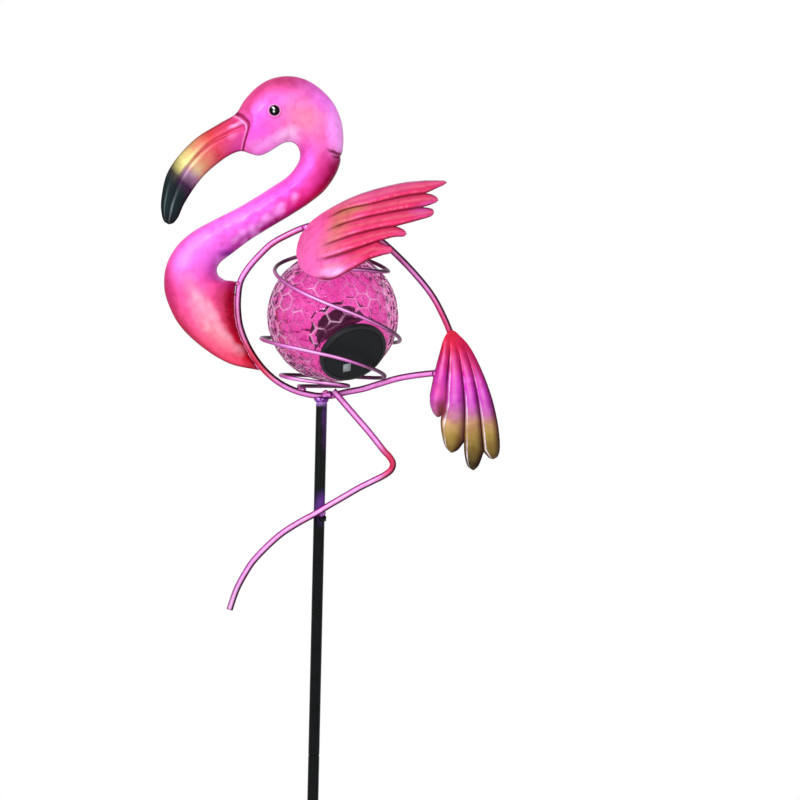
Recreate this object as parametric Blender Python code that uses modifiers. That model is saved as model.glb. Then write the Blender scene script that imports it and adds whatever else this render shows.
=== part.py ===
"""Solar flamingo garden light: a sheet-metal bird on a pole, with a glass globe lamp and a ground stake.

Metres, +Z up. The origin is the centre of the stake's foot. The bird looks towards -X, and its
show side faces -Y. Run with: blender --background --python part.py
"""
import math

import bmesh
import bpy
import numpy as np
from mathutils import Vector

# Clearance between pieces that touch
GAP = 0.0003

# Ground stake: a rod with a threaded stud on top, and a bent prong to step on
ROD_RADIUS = 0.00425
ROD_LENGTH = 0.500
STUD_RADIUS = 0.0025
STUD_LENGTH = 0.0103
ROD_CHAMFER = 0.0006
PRONG_RADIUS = 0.003
PRONG_SPACING = 0.106
PRONG_BEND_RADIUS = 0.008
STEP_HEIGHT = 0.153

# Pole under the bird, bored at its lower end for the stud
POLE_RADIUS = 0.00425
POLE_LENGTH = 0.270
BORE_RADIUS = STUD_RADIUS + GAP
BORE_DEPTH = STUD_LENGTH + 0.002

# Bird: its outlines are given in hundredths of its height above the pole
BIRD_HEIGHT = 0.2425
SHARE = BIRD_HEIGHT / 100
RING_RADIUS = 0.0025
LEG_RADIUS = 0.0025
NECK_DEPTH = 0.013
NECK_FULLNESS = 0.62
NECK_SWELL = 1.1
BEAK_GROOVE = 0.0009
BEAK_STEP = 0.0012
EYE_RADIUS = 0.0050
EYE_HEIGHT = 0.0032
EYE_SIDES = 16
EYE_ARCS = 5
WING_SHEET = 0.0011
WING_STANDOFF = 0.0085
WING_DOME = 0.006
FEATHER_RIDGE = 0.0018
TAIL_SHEET = 0.0011
TAIL_DOME = 0.004

# Globe lamp: a blown ball with a flat seat round its mouth, and the solar cap that closes it
GLOBE_RADIUS = 0.050
GLOBE_WALL = 0.0025
GLOBE_LIFT = 0.0109
CAP_RADIUS = 0.026
CAP_FLANGE = 0.0045
SEAT_MARGIN = 0.0025
HOUSING_RADIUS = 0.020
HOUSING_LENGTH = 0.030
MOUTH_CLEARANCE = 0.0008
LIP_DEPTH = 0.004
PANEL_RIM = 0.0028
PANEL_THICKNESS = 0.0010
CAP_TURN = math.radians(29)
CAP_DIP = math.radians(39.2)
COIL_RADIUS = 0.0015
COIL_BASE = 0.015
FOOT_TURNS = 4

# Places that follow from the sizes above
POLE_BOTTOM = ROD_LENGTH + GAP
POLE_TOP = POLE_BOTTOM + POLE_LENGTH
RING_BOTTOM = POLE_TOP + GAP + RING_RADIUS
SEAT_RADIUS = CAP_RADIUS + SEAT_MARGIN
SEAT_HEIGHT = math.sqrt(GLOBE_RADIUS ** 2 - SEAT_RADIUS ** 2)
FLANGE_BOTTOM = SEAT_HEIGHT + GAP
CAP_FACE = FLANGE_BOTTOM + CAP_FLANGE
CAP_REACH = math.hypot(CAP_FACE, CAP_RADIUS)

# Points along each part of a smooth curve before they are evened out
CURVE_STEPS = 20

# Segments round turned pieces, and rows along the sheet pieces
TURNED_SIDES = 24
GLOBE_SIDES = 28
NECK_ROWS = 72
NECK_COLUMNS = 8
FEATHER_ROWS = 13
FEATHER_TIP_ROWS = 5
FEATHER_COLUMNS = 3

# Beak, head, neck and breast, from the beak's tip to the breast's point: x and z of the upper or
# outer edge, then x and z of the edge across from it
NECK = (
    (-49.2, 52.7, -49.2, 52.7), (-50.7, 53.7, -47.8, 53.1), (-51.6, 56.8, -46.3, 54.9),
    (-51.6, 61.3, -44.4, 59.3), (-49.5, 69.8, -39.4, 67.1), (-41.8, 79.4, -32.9, 73.2),
    (-33.6, 84.9, -28.7, 75.7), (-28.9, 87.9, -26.4, 76.1), (-26.3, 92.1, -24.1, 75.4),
    (-22.5, 96.3, -21.5, 74.9), (-18.1, 99.0, -19.2, 75.6), (-12.4, 100.0, -16.5, 77.3),
    (-7.2, 99.0, -13.9, 78.9), (-2.4, 96.1, -11.7, 79.4), (1.6, 91.9, -9.9, 78.6),
    (4.1, 86.6, -8.8, 77.0), (5.0, 81.0, -8.5, 74.9), (4.6, 75.6, -9.1, 72.8),
    (3.2, 70.3, -10.9, 70.0), (-0.3, 64.7, -13.4, 67.6), (-4.8, 60.7, -17.1, 65.1),
    (-10.6, 56.7, -22.0, 61.8), (-17.3, 52.5, -28.2, 58.0), (-23.6, 48.4, -35.0, 54.4),
    (-28.8, 44.3, -41.5, 50.6), (-32.5, 41.3, -46.1, 46.4), (-33.7, 39.2, -48.8, 42.0),
    (-33.3, 37.2, -50.0, 38.1), (-31.1, 35.7, -50.2, 34.0), (-27.6, 35.0, -49.5, 29.9),
    (-27.7, 28.2, -45.6, 21.9), (-26.4, 20.4, -38.5, 15.0), (-23.3, 13.1, -29.1, 9.5),
    (-19.0, 7.5, -19.0, 7.5),
)
BEAK_END = 7
BREAST_START = 27
EYE = (-16.5, 88.5)

# Middle line of the wire that outlines the body, from the end of the lower arm round to the tail
RING = (
    (36.2, 8.1), (34.5, 7.9), (28.2, 7.0), (23.1, 5.9), (17.9, 4.2), (12.7, 2.5), (7.6, 1.4),
    (2.6, 0.1), (0.0, 0.0), (-2.8, 0.2), (-8.1, 1.4), (-13.4, 3.9), (-17.8, 7.4), (-21.3, 11.6),
    (-24.1, 16.3), (-26.0, 21.1), (-26.8, 25.8), (-26.9, 30.6), (-26.2, 35.5), (-23.9, 39.6),
    (-20.5, 43.7), (-16.7, 47.4), (-11.8, 50.3), (-6.6, 52.7), (-1.1, 54.2), (4.5, 54.3),
    (10.2, 53.0), (15.6, 50.3), (20.0, 47.0), (27.8, 39.5), (34.0, 32.1), (38.1, 24.7),
    (40.4, 19.4),
)
RING_POINTS = 54
RING_SAMPLES = 600

# How far the globe's centre is to the side of the pole, in hundredths of the bird's height
GLOBE_ASIDE = 2.9

# Spiral, from the globe's centre in hundredths of its radius: where each half turn reaches its
# side, x and z, and the height of each pass between
COIL_SIDES = (
    (-49.0, -109.6), (26.2, -109.1), (-77.1, -91.2), (81.0, -91.2),
    (-107.7, -35.9), (102.8, -34.0), (-89.7, 68.9), (82.9, 69.8), (-72.3, 62.6),
)
COIL_PASSES = (-107.2, -100.4, -90.7, -59.2, -34.4, 10.2, 98.0, 67.4)
COIL_HALF_TURNS = 7.42
COIL_POINTS = 80

# Middle line of the bent leg, from the pole's top to the toe
LEG = (
    (2.9, 1.7), (10.1, -5.6), (15.2, -11.5), (20.3, -16.4), (22.6, -19.2), (22.8, -21.5),
    (21.5, -23.6), (18.0, -25.9), (10.6, -29.9), (1.7, -35.1), (-6.1, -40.3), (-11.4, -44.0),
    (-16.2, -48.5), (-20.2, -53.1), (-23.8, -58.4), (-26.1, -63.4), (-27.3, -67.7),
)
LEG_POINTS = 34

# Wing: six lines fan out from the shoulder, the first and last are its edges and the others are
# the grooves between feathers. Each feather then has an upper and a lower edge out to its tip.
WING_LINES = (
    ((-7.7, 49.9), (-4.8, 54.0), (1.7, 58.8), (10.9, 63.4), (23.6, 67.1), (30.8, 68.0)),
    ((-8.4, 47.4), (-4.0, 51.8), (1.5, 55.6), (6.5, 58.2), (14.4, 60.0), (25.3, 62.7), (30.9, 63.6)),
    ((-8.7, 45.1), (-3.7, 48.0), (1.7, 51.4), (8.4, 54.2), (19.3, 56.9), (29.7, 58.9)),
    ((-8.6, 43.4), (-4.2, 44.4), (0.5, 46.3), (5.9, 48.5), (16.2, 51.5), (21.8, 52.5)),
    ((-8.1, 41.8), (-4.7, 41.3), (-0.3, 42.0), (5.5, 43.5), (10.2, 45.2), (16.6, 47.7)),
    ((-7.2, 39.6), (-5.0, 37.5), (-2.7, 36.3), (2.7, 35.4), (8.8, 38.4), (13.9, 41.7)),
)
WING_TIPS = (
    (((35.0, 68.1), (36.9, 68.0)), (37.5, 67.5), ((33.6, 65.1), (36.6, 66.7))),
    (((33.2, 63.1), (34.6, 62.2)), (34.9, 61.4), ((31.9, 59.7), (34.0, 60.7))),
    (((32.3, 58.6), (33.4, 58.1)), (33.6, 57.2), ((28.7, 54.7), (32.9, 56.3))),
    (((23.7, 51.8), (25.0, 50.9)), (25.3, 50.3), ((21.5, 49.2), (24.6, 49.5))),
    (((18.8, 46.5), (20.7, 45.9)), (21.4, 45.0), ((18.1, 43.3), (20.8, 44.1))),
)

# Tail: five lines fan down from the top, then the edges of each feather out to its tip
TAIL_LINES = (
    ((39.6, 21.5), (38.2, 19.6), (36.8, 14.4), (35.1, 7.3), (34.0, 1.2)),
    ((40.0, 21.5), (39.8, 16.9), (39.5, 10.6), (39.1, 4.3), (38.9, -0.6), (37.8, -4.8)),
    ((40.7, 21.4), (42.4, 15.3), (43.8, 7.5), (44.8, -1.8), (44.9, -13.3)),
    ((41.3, 21.2), (44.9, 14.8), (47.6, 6.1), (49.7, -4.9), (51.0, -16.2)),
    ((41.8, 20.8), (45.4, 17.1), (49.4, 9.9), (53.1, 0.7), (55.2, -7.6), (55.9, -12.6)),
)
TAIL_TIPS = (
    (((34.2, -1.9), (35.3, -4.6)), (36.4, -5.7), ((37.2, -5.5),)),
    (((37.5, -6.8), (38.0, -11.0), (39.3, -15.0)), (41.0, -16.7), ((44.4, -13.9), (42.9, -15.8))),
    (((45.2, -17.2), (46.3, -20.8)), (47.9, -22.0), ((50.6, -17.4), (49.3, -20.7))),
    (((51.9, -17.1), (53.0, -18.1)), (54.1, -18.4), ((55.9, -15.6), (55.3, -17.6))),
)

PINK = (0.85, 0.12, 0.55)
CRIMSON = (0.75, 0.05, 0.20)
BLACK_PAINT = (0.01, 0.012, 0.014)
BLACK_PLASTIC = (0.013, 0.017, 0.02)
GLASS_PINK = (0.8, 0.10, 0.45)


def clear_scene():
    for obj in list(bpy.data.objects):
        bpy.data.objects.remove(obj, do_unlink=True)


def make_material(name, colour, roughness, metallic=0.0, transmission=0.0):
    """A Principled material with plain values."""
    material = bpy.data.materials.new(name)
    material.use_nodes = True
    shader = material.node_tree.nodes["Principled BSDF"]
    shader.inputs["Base Color"].default_value = (*colour, 1.0)
    shader.inputs["Roughness"].default_value = roughness
    shader.inputs["Metallic"].default_value = metallic
    shader.inputs["Transmission Weight"].default_value = transmission
    return material


def smooth_line(points, count):
    """Points spaced evenly along a smooth curve through the given ones, in any dimension."""
    knots = np.array(points, dtype=float)
    ends = np.vstack((2 * knots[0] - knots[1], knots, 2 * knots[-1] - knots[-2]))
    dense = []
    for a, b, c, d in zip(ends, ends[1:], ends[2:], ends[3:]):
        # Centripetal spacing keeps the curve from looping at close points
        t1 = np.linalg.norm(b - a) ** 0.5
        t2 = t1 + np.linalg.norm(c - b) ** 0.5
        t3 = t2 + np.linalg.norm(d - c) ** 0.5
        for step in range(CURVE_STEPS):
            t = t1 + (t2 - t1) * step / CURVE_STEPS
            ab = a + (b - a) * t / t1
            bc = b + (c - b) * (t - t1) / (t2 - t1)
            cd = c + (d - c) * (t - t2) / (t3 - t2)
            abc = ab + (bc - ab) * t / t2
            bcd = bc + (cd - bc) * (t - t1) / (t3 - t1)
            dense.append(abc + (bcd - abc) * (t - t1) / (t2 - t1))
    dense.append(knots[-1])
    dense = np.array(dense)
    runs = np.linalg.norm(np.diff(dense, axis=0), axis=1)
    reached = np.concatenate(((0.0,), np.cumsum(runs)))
    wanted = np.linspace(0.0, reached[-1], count)
    return np.column_stack([np.interp(wanted, reached, column) for column in dense.T])


def on_bird(x, z, y=0.0):
    """A place on the bird, from shares of its height to metres."""
    return Vector((x * SHARE, y, RING_BOTTOM + z * SHARE))


def add_object(name, data, material, collection):
    obj = bpy.data.objects.new(name, data)
    obj.data.materials.append(material)
    collection.objects.link(obj)
    return obj


def make_wire(name, points, radius, material, collection):
    """A round wire or rod along the points, with flat ends."""
    curve = bpy.data.curves.new(name, "CURVE")
    curve.dimensions = "3D"
    curve.bevel_depth = radius
    curve.bevel_resolution = 2
    curve.use_fill_caps = True
    spline = curve.splines.new("POLY")
    spline.points.add(len(points) - 1)
    for knot, point in zip(spline.points, points):
        knot.co = (*point, 1.0)
    return add_object(name, curve, material, collection)


def make_turned(name, profile, sides, material, collection):
    """A turned piece: the profile is radius and height, from the top down its outer side."""
    bm = bmesh.new()
    verts = [bm.verts.new((radius, 0.0, height)) for radius, height in profile]
    for upper, lower in zip(verts, verts[1:]):
        bm.edges.new((upper, lower))
    mesh = bpy.data.meshes.new(name)
    bm.to_mesh(mesh)
    bm.free()
    obj = add_object(name, mesh, material, collection)
    screw = obj.modifiers.new("turn", "SCREW")
    screw.axis = "Z"
    screw.steps = sides
    screw.render_steps = sides
    screw.use_merge_vertices = True
    screw.merge_threshold = 0.00001
    screw.use_smooth_shade = False
    return obj


def add_sheet(bm, rows, columns, surface):
    """Add a grid of rows by columns, each corner placed by surface(along, across)."""
    made = bmesh.ops.create_grid(bm, x_segments=rows, y_segments=columns, size=1.0)
    for vert in made["verts"]:
        vert.co = surface((vert.co.x + 1) / 2, (vert.co.y + 1) / 2)


def line_at(line, along):
    """The point at a share of the way along an evenly spaced line."""
    place = along * (len(line) - 1)
    start = min(int(place + 1e-6), len(line) - 2)
    return line[start] + (line[start + 1] - line[start]) * (place - start)


def finish_sheet(name, bm, material, collection, thickness=0.0):
    bmesh.ops.remove_doubles(bm, verts=bm.verts, dist=0.00001)
    bmesh.ops.recalc_face_normals(bm, faces=bm.faces)
    if thickness and sum(face.normal.y * face.calc_area() for face in bm.faces) > 0:
        bmesh.ops.reverse_faces(bm, faces=bm.faces)
    mesh = bpy.data.meshes.new(name)
    bm.to_mesh(mesh)
    bm.free()
    mesh.shade_smooth()
    obj = add_object(name, mesh, material, collection)
    if thickness:
        solidify = obj.modifiers.new("sheet", "SOLIDIFY")
        solidify.thickness = thickness
        solidify.offset = 0.0
    return obj


def clear_of_ring(point, ring):
    """Move a point of the breast's edge out to the ring's left side, where it would pass it."""
    offsets = ring - point
    near = int(np.argmin(np.linalg.norm(offsets, axis=1)))
    run = ring[min(near + 1, len(ring) - 1)] - ring[max(near - 1, 0)]
    outward = np.array((-run[1], run[0])) / np.linalg.norm(run)
    edge = (RING_RADIUS + GAP) / SHARE
    if np.dot(point - ring[near], outward) < edge:
        return ring[near] + outward * edge
    return point


def travel(points):
    """The length of the straight runs between the points."""
    return np.linalg.norm(np.diff(np.array(points), axis=0), axis=1).sum()


def make_head_and_neck(material, collection):
    """Two stamped halves that meet in a seam round the whole outline."""
    beak_share = travel(NECK[:BEAK_END + 1]) / travel(NECK)
    breast_share = travel(NECK[:BREAST_START + 1]) / travel(NECK)
    ring = smooth_line(RING, RING_SAMPLES)
    edges = smooth_line(NECK, NECK_ROWS + 1)
    for row, pair in enumerate(edges):
        if row > breast_share * NECK_ROWS:
            pair[:2] = clear_of_ring(pair[:2], ring)
            pair[2:] = clear_of_ring(pair[2:], ring)

    def surface(along, across):
        pair = line_at(edges, along)
        mix = (1 - math.cos(math.pi * across)) / 2
        x, z = pair[:2] + (pair[2:] - pair[:2]) * mix
        width = np.linalg.norm(pair[2:] - pair[:2]) / 2 * SHARE
        depth = min(NECK_FULLNESS * width, NECK_DEPTH * math.tanh(NECK_SWELL * width / NECK_DEPTH))
        if along < beak_share:
            # The beak is set lower than the head, and its mouth is a groove along the middle
            depth -= min(BEAK_STEP, depth / 4)
            middle_column = abs(across - 0.5) * NECK_COLUMNS < 0.5
            depth -= min(BEAK_GROOVE, depth / 4) if middle_column else 0.0
        return on_bird(x, z, -depth * math.sin(math.pi * across))

    bm = bmesh.new()
    add_sheet(bm, NECK_ROWS, NECK_COLUMNS, surface)
    for vert in bm.verts:
        if abs(vert.co.y) < 1e-7:
            vert.co.y = 0.0
    bmesh.ops.remove_doubles(bm, verts=bm.verts, dist=0.00001)
    bmesh.ops.mirror(bm, geom=bm.verts[:] + bm.edges[:] + bm.faces[:], axis="Y", merge_dist=0.00001)
    return finish_sheet("head_and_neck", bm, material, collection)


def make_eye(name, side, material, collection):
    """A glossy bead with a flat back, on the fullest part of the head."""
    profile = [(0.0, EYE_HEIGHT)]
    for step in range(1, EYE_ARCS + 1):
        angle = math.pi / 2 * step / EYE_ARCS
        profile.append((EYE_RADIUS * math.sin(angle), EYE_HEIGHT * math.cos(angle)))
    profile.append((0.0, 0.0))
    obj = make_turned(name, profile, EYE_SIDES, material, collection)
    obj.location = on_bird(*EYE, side * (NECK_DEPTH + GAP))
    obj.rotation_euler = (-side * math.pi / 2, 0.0, 0.0)
    return obj


def feather_fan(lines, tips, surface):
    """A fan of feathers that share their grooves, as one sheet."""
    bm = bmesh.new()
    shared = [smooth_line(line, FEATHER_ROWS + 1) for line in lines]
    rows = FEATHER_ROWS + FEATHER_TIP_ROWS
    for index, (upper, tip, lower) in enumerate(tips):
        edges = []
        for line, edge in ((shared[index], upper), (shared[index + 1], lower)):
            outer = smooth_line((line[-1], *edge, tip), FEATHER_TIP_ROWS + 1)
            edges.append(np.vstack((line, outer[1:])))

        def place(along, across, edges=edges, index=index):
            a = line_at(edges[0], along)
            b = line_at(edges[1], along)
            fan = (index + across) / len(tips)
            return surface(a + (b - a) * across, along, across, fan)

        add_sheet(bm, rows, FEATHER_COLUMNS, place)
    return bm


def rise(value, start, end):
    """A smooth step from 0 at start to 1 at end."""
    share = min(1.0, max(0.0, (value - start) / (end - start)))
    return share * share * (3 - 2 * share)


def wing_slope(back):
    """How far the wing leans out for each metre down, so that it stands off the globe."""
    shoulder = on_bird(*WING_LINES[0][2]).z - globe_centre().z
    tangent = math.asin((GLOBE_RADIUS + WING_STANDOFF) / math.hypot(shoulder, back))
    return math.tan(tangent - math.atan(back / shoulder))


def make_wing(material, collection):
    back = RING_RADIUS + GAP + WING_SHEET / 2
    slope = wing_slope(back)
    top_edge = smooth_line(WING_LINES[0], FEATHER_ROWS + 1)

    def surface(point, along, across, fan):
        top = np.interp(point[0], top_edge[:, 0], top_edge[:, 1])
        drop = max(top - point[1], 0.0) * SHARE
        dome = WING_DOME * 4 * fan * (1 - fan) * rise(along, -0.05, 0.25) * (1 - 0.6 * along)
        ridge = FEATHER_RIDGE * 4 * across * (1 - across) * rise(along, 0.25, 0.6)
        return on_bird(*point, -(back + drop * slope + dome + ridge))

    bm = feather_fan(WING_LINES, WING_TIPS, surface)
    return finish_sheet("wing", bm, material, collection, WING_SHEET)


def make_tail(material, collection):
    back = RING_RADIUS + GAP + TAIL_SHEET / 2

    def surface(point, along, across, fan):
        dome = TAIL_DOME * 4 * fan * (1 - fan) * rise(along, 0.0, 0.4)
        ridge = FEATHER_RIDGE * 4 * across * (1 - across) * rise(along, 0.1, 0.45)
        return on_bird(*point, -(back + dome + ridge))

    bm = feather_fan(TAIL_LINES, TAIL_TIPS, surface)
    return finish_sheet("tail_feathers", bm, material, collection, TAIL_SHEET)


def make_ring(material, collection):
    points = [on_bird(x, z) for x, z in smooth_line(RING, RING_POINTS)]
    return make_wire("body_ring", points, RING_RADIUS, material, collection)


def globe_centre():
    return on_bird(GLOBE_ASIDE, 0.0) + Vector((0.0, 0.0, GLOBE_LIFT + GLOBE_RADIUS))


def height_over_ring(x, ring, limit):
    """The lowest height at which the spiral's wire passes over the ring's lower side at x."""
    reach = RING_RADIUS + COIL_RADIUS + GAP
    near = [point for point in ring if abs(point.x - x) < reach and point.z < limit]
    return max(point.z + math.sqrt(reach ** 2 - (point.x - x) ** 2) for point in near)


def make_coil(material, collection):
    """The spiral goes behind the globe from left to right, and in front from right to left."""
    centre = globe_centre()
    unit = GLOBE_RADIUS / 100
    ring = [on_bird(x, z) for x, z in smooth_line(RING, RING_SAMPLES)]
    sides = [(centre.x + x * unit, centre.z + z * unit) for x, z in COIL_SIDES]
    foot = [(x, max(z, height_over_ring(x, ring, centre.z))) for x, z in sides[:FOOT_TURNS]]
    sides = foot + sides[FOOT_TURNS:]
    heights = []
    for side, passing in zip(sides, COIL_PASSES):
        heights += [side[1], centre.z + passing * unit]
    heights.append(sides[-1][1])
    # The first pass lies level with the two sides it joins
    heights[1] = (heights[0] + heights[2]) / 2
    half_step = math.pi * COIL_HALF_TURNS / (COIL_POINTS - 1) / 2
    points = []
    for step in range(COIL_POINTS):
        turns = COIL_HALF_TURNS * step / (COIL_POINTS - 1)
        half = min(int(turns), len(sides) - 2)
        share = turns - half
        middle = (sides[half][0] + sides[half + 1][0]) / 2
        swing = (sides[half][0] - sides[half + 1][0]) / 2
        x = middle + swing * math.cos(math.pi * share)
        z = level_at(heights, turns * 2)
        behind = half % 2 == 0
        reach = ((GLOBE_RADIUS if behind else CAP_REACH) + COIL_RADIUS + GAP) / math.cos(half_step)
        fall = z - centre.z
        aside = x - centre.x
        depth = math.sqrt(max(reach ** 2 - fall ** 2, COIL_BASE ** 2)) * math.sin(math.pi * share)
        depth = max(depth, math.sqrt(max(reach ** 2 - fall ** 2 - aside ** 2, 0.0)))
        points.append(Vector((x, depth if behind else -depth, z)))
    return make_wire("globe_coil", points, COIL_RADIUS, material, collection)


def level_at(heights, place):
    """A height between evenly spaced ones, on a smooth curve."""
    index = min(int(place), len(heights) - 2)
    share = place - index
    before = heights[max(index - 1, 0)]
    after = heights[min(index + 2, len(heights) - 1)]
    start, end = heights[index], heights[index + 1]
    slope_in = (end - before) / 2
    slope_out = (after - start) / 2
    square = share * share
    cube = square * share
    return (start * (2 * cube - 3 * square + 1) + slope_in * (cube - 2 * square + share)
            + end * (3 * square - 2 * cube) + slope_out * (cube - square))


def lamp_axis(collection):
    """An empty at the globe's centre, with its Z axis out through the middle of the mouth."""
    empty = bpy.data.objects.new("lamp_axis", None)
    collection.objects.link(empty)
    empty.location = globe_centre()
    outward = Vector((math.sin(CAP_TURN) * math.cos(CAP_DIP),
                      -math.cos(CAP_TURN) * math.cos(CAP_DIP), -math.sin(CAP_DIP)))
    empty.rotation_mode = "QUATERNION"
    empty.rotation_quaternion = outward.to_track_quat("Z", "X")
    return empty


def arc(radius, start, end, count):
    """Points on a circle round the axis, as radius and height, between two heights."""
    first = math.acos(start / radius)
    last = math.acos(end / radius)
    steps = [first + (last - first) * step / (count - 1) for step in range(count)]
    return [(radius * math.sin(angle), radius * math.cos(angle)) for angle in steps]


def make_globe(material, axis, collection):
    inner = GLOBE_RADIUS - GLOBE_WALL
    mouth = HOUSING_RADIUS + MOUTH_CLEARANCE
    profile = arc(inner, -inner, SEAT_HEIGHT - LIP_DEPTH, 10)
    profile[0] = (0.0, -inner)
    profile += [(mouth, SEAT_HEIGHT - LIP_DEPTH), (mouth, SEAT_HEIGHT)]
    profile += arc(GLOBE_RADIUS, SEAT_HEIGHT, -GLOBE_RADIUS, 12)
    profile[-1] = (0.0, -GLOBE_RADIUS)
    obj = make_turned("glass_globe", profile, GLOBE_SIDES, material, collection)
    obj.parent = axis
    return obj


def make_cap(material, axis, collection):
    recess = CAP_RADIUS - PANEL_RIM
    floor = CAP_FACE - PANEL_THICKNESS - GAP
    chamfer = CAP_FLANGE / 6
    profile = [
        (0.0, floor), (recess, floor), (recess, CAP_FACE), (CAP_RADIUS - chamfer, CAP_FACE),
        (CAP_RADIUS, CAP_FACE - chamfer), (CAP_RADIUS, FLANGE_BOTTOM), (HOUSING_RADIUS, FLANGE_BOTTOM),
        (HOUSING_RADIUS, FLANGE_BOTTOM - HOUSING_LENGTH + chamfer),
        (HOUSING_RADIUS - chamfer, FLANGE_BOTTOM - HOUSING_LENGTH), (0.0, FLANGE_BOTTOM - HOUSING_LENGTH),
    ]
    obj = make_turned("solar_cap", profile, GLOBE_SIDES, material, collection)
    obj.parent = axis
    return obj


def make_panel(material, axis, collection):
    radius = CAP_RADIUS - PANEL_RIM - GAP
    top = CAP_FACE - GAP / 2
    bottom = CAP_FACE - PANEL_THICKNESS
    profile = [(0.0, top), (radius, top), (radius, bottom), (0.0, bottom)]
    obj = make_turned("solar_panel", profile, GLOBE_SIDES, material, collection)
    obj.parent = axis
    return obj


def make_leg(material, collection):
    """The lifted leg passes in front of the ring, then in front of the pole, where it is welded."""
    line = smooth_line(LEG, LEG_POINTS)
    at_ring = RING_RADIUS + LEG_RADIUS + GAP
    at_pole = POLE_RADIUS + LEG_RADIUS + GAP
    points = []
    for index, (x, z) in enumerate(line):
        share = rise(index / (LEG_POINTS - 1), 0.0, 0.3)
        points.append(on_bird(x, z, -(at_ring + (at_pole - at_ring) * share)))
    return make_wire("bent_leg", points, LEG_RADIUS, material, collection)


def make_pole(material, collection):
    bore_top = POLE_BOTTOM + BORE_DEPTH
    profile = [
        (0.0, POLE_TOP), (POLE_RADIUS, POLE_TOP), (POLE_RADIUS, POLE_BOTTOM), (BORE_RADIUS, POLE_BOTTOM),
        (BORE_RADIUS, bore_top), (0.0, bore_top),
    ]
    return make_turned("upper_pole", profile, TURNED_SIDES, material, collection)


def make_stake(material, collection):
    stud_top = ROD_LENGTH + STUD_LENGTH
    profile = [
        (0.0, stud_top), (STUD_RADIUS - ROD_CHAMFER, stud_top), (STUD_RADIUS, stud_top - ROD_CHAMFER),
        (STUD_RADIUS, ROD_LENGTH), (ROD_RADIUS, ROD_LENGTH), (ROD_RADIUS, ROD_CHAMFER),
        (ROD_RADIUS - ROD_CHAMFER, 0.0), (0.0, 0.0),
    ]
    return make_turned("ground_stake", profile, TURNED_SIDES, material, collection)


def make_prong(material, collection):
    """A rod from the stake's side, bent down to the same depth as the stake's foot."""
    start = -(ROD_RADIUS + GAP)
    corner = -PRONG_SPACING + PRONG_BEND_RADIUS
    points = [Vector((start, 0.0, STEP_HEIGHT))]
    bend_steps = 6
    for step in range(bend_steps + 1):
        angle = math.pi / 2 * (1 + step / bend_steps)
        points.append(Vector((corner + PRONG_BEND_RADIUS * math.cos(angle), 0.0,
                              STEP_HEIGHT - PRONG_BEND_RADIUS * (1 - math.sin(angle)))))
    points.append(Vector((-PRONG_SPACING, 0.0, 0.0)))
    return make_wire("step_prong", points, PRONG_RADIUS, material, collection)


def main():
    clear_scene()
    collection = bpy.data.collections.new("solar_flamingo_garden_light")
    bpy.context.scene.collection.children.link(collection)
    sheet_paint = make_material("candy_pink_paint", PINK, 0.3, metallic=0.6)
    wing_paint = make_material("coral_paint", CRIMSON, 0.3, metallic=0.6)
    tail_paint = make_material("magenta_tail_paint", CRIMSON, 0.3, metallic=0.6)
    wire_paint = make_material("pink_wire_paint", PINK, 0.3, metallic=0.5)
    coil_paint = make_material("pink_coil_paint", PINK, 0.3, metallic=0.5)
    leg_paint = make_material("pink_leg_paint", PINK, 0.3, metallic=0.5)
    bead = make_material("black_bead", BLACK_PLASTIC, 0.08)
    glass = make_material("pink_glass", GLASS_PINK, 0.05, transmission=1.0)
    plastic = make_material("black_cap_plastic", BLACK_PLASTIC, 0.5)
    panel = make_material("solar_panel_face", BLACK_PLASTIC, 0.2)
    pole_paint = make_material("black_pole_paint", BLACK_PAINT, 0.35)
    stake_paint = make_material("black_stake_paint", BLACK_PAINT, 0.35)
    prong_paint = make_material("black_prong_paint", BLACK_PAINT, 0.35)

    make_head_and_neck(sheet_paint, collection)
    make_eye("eye_left", 1, bead, collection)
    make_eye("eye_right", -1, bead, collection)
    make_wing(wing_paint, collection)
    make_tail(tail_paint, collection)
    make_ring(wire_paint, collection)
    make_coil(coil_paint, collection)
    make_leg(leg_paint, collection)
    axis = lamp_axis(collection)
    make_globe(glass, axis, collection)
    make_cap(plastic, axis, collection)
    make_panel(panel, axis, collection)
    make_pole(pole_paint, collection)
    make_stake(stake_paint, collection)
    make_prong(prong_paint, collection)


main()
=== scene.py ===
# %% [markdown]
# # A solar flamingo garden light
# A painted sheet-metal bird stands on a black pole. In place of its body it has a wire spiral with
# a pink honeycomb glass globe in it, and a black solar cap closes the globe's mouth. A ground stake
# screws into the pole from below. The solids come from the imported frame. This lesson dresses each
# one: it makes a finer piece in the same place, with the same outline, and gives it its finish.

# %% Load the frame
import math

import bmesh
import bpy
import numpy as np
from mathutils import Euler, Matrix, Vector, noise
from mathutils.kdtree import KDTree


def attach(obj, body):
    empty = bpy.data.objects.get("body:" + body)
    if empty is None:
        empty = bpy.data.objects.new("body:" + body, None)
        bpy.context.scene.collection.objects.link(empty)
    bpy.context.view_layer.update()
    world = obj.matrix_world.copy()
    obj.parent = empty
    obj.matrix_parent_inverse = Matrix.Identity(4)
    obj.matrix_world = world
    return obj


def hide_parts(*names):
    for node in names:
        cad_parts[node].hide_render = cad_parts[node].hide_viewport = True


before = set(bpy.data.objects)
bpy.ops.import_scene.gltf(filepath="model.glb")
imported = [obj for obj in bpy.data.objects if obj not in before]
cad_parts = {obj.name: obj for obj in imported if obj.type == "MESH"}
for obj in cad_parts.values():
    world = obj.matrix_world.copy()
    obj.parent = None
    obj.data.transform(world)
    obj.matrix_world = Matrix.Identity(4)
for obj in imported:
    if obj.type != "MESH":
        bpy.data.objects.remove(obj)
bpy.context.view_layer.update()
print("CAD nodes:", sorted(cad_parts))

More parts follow.
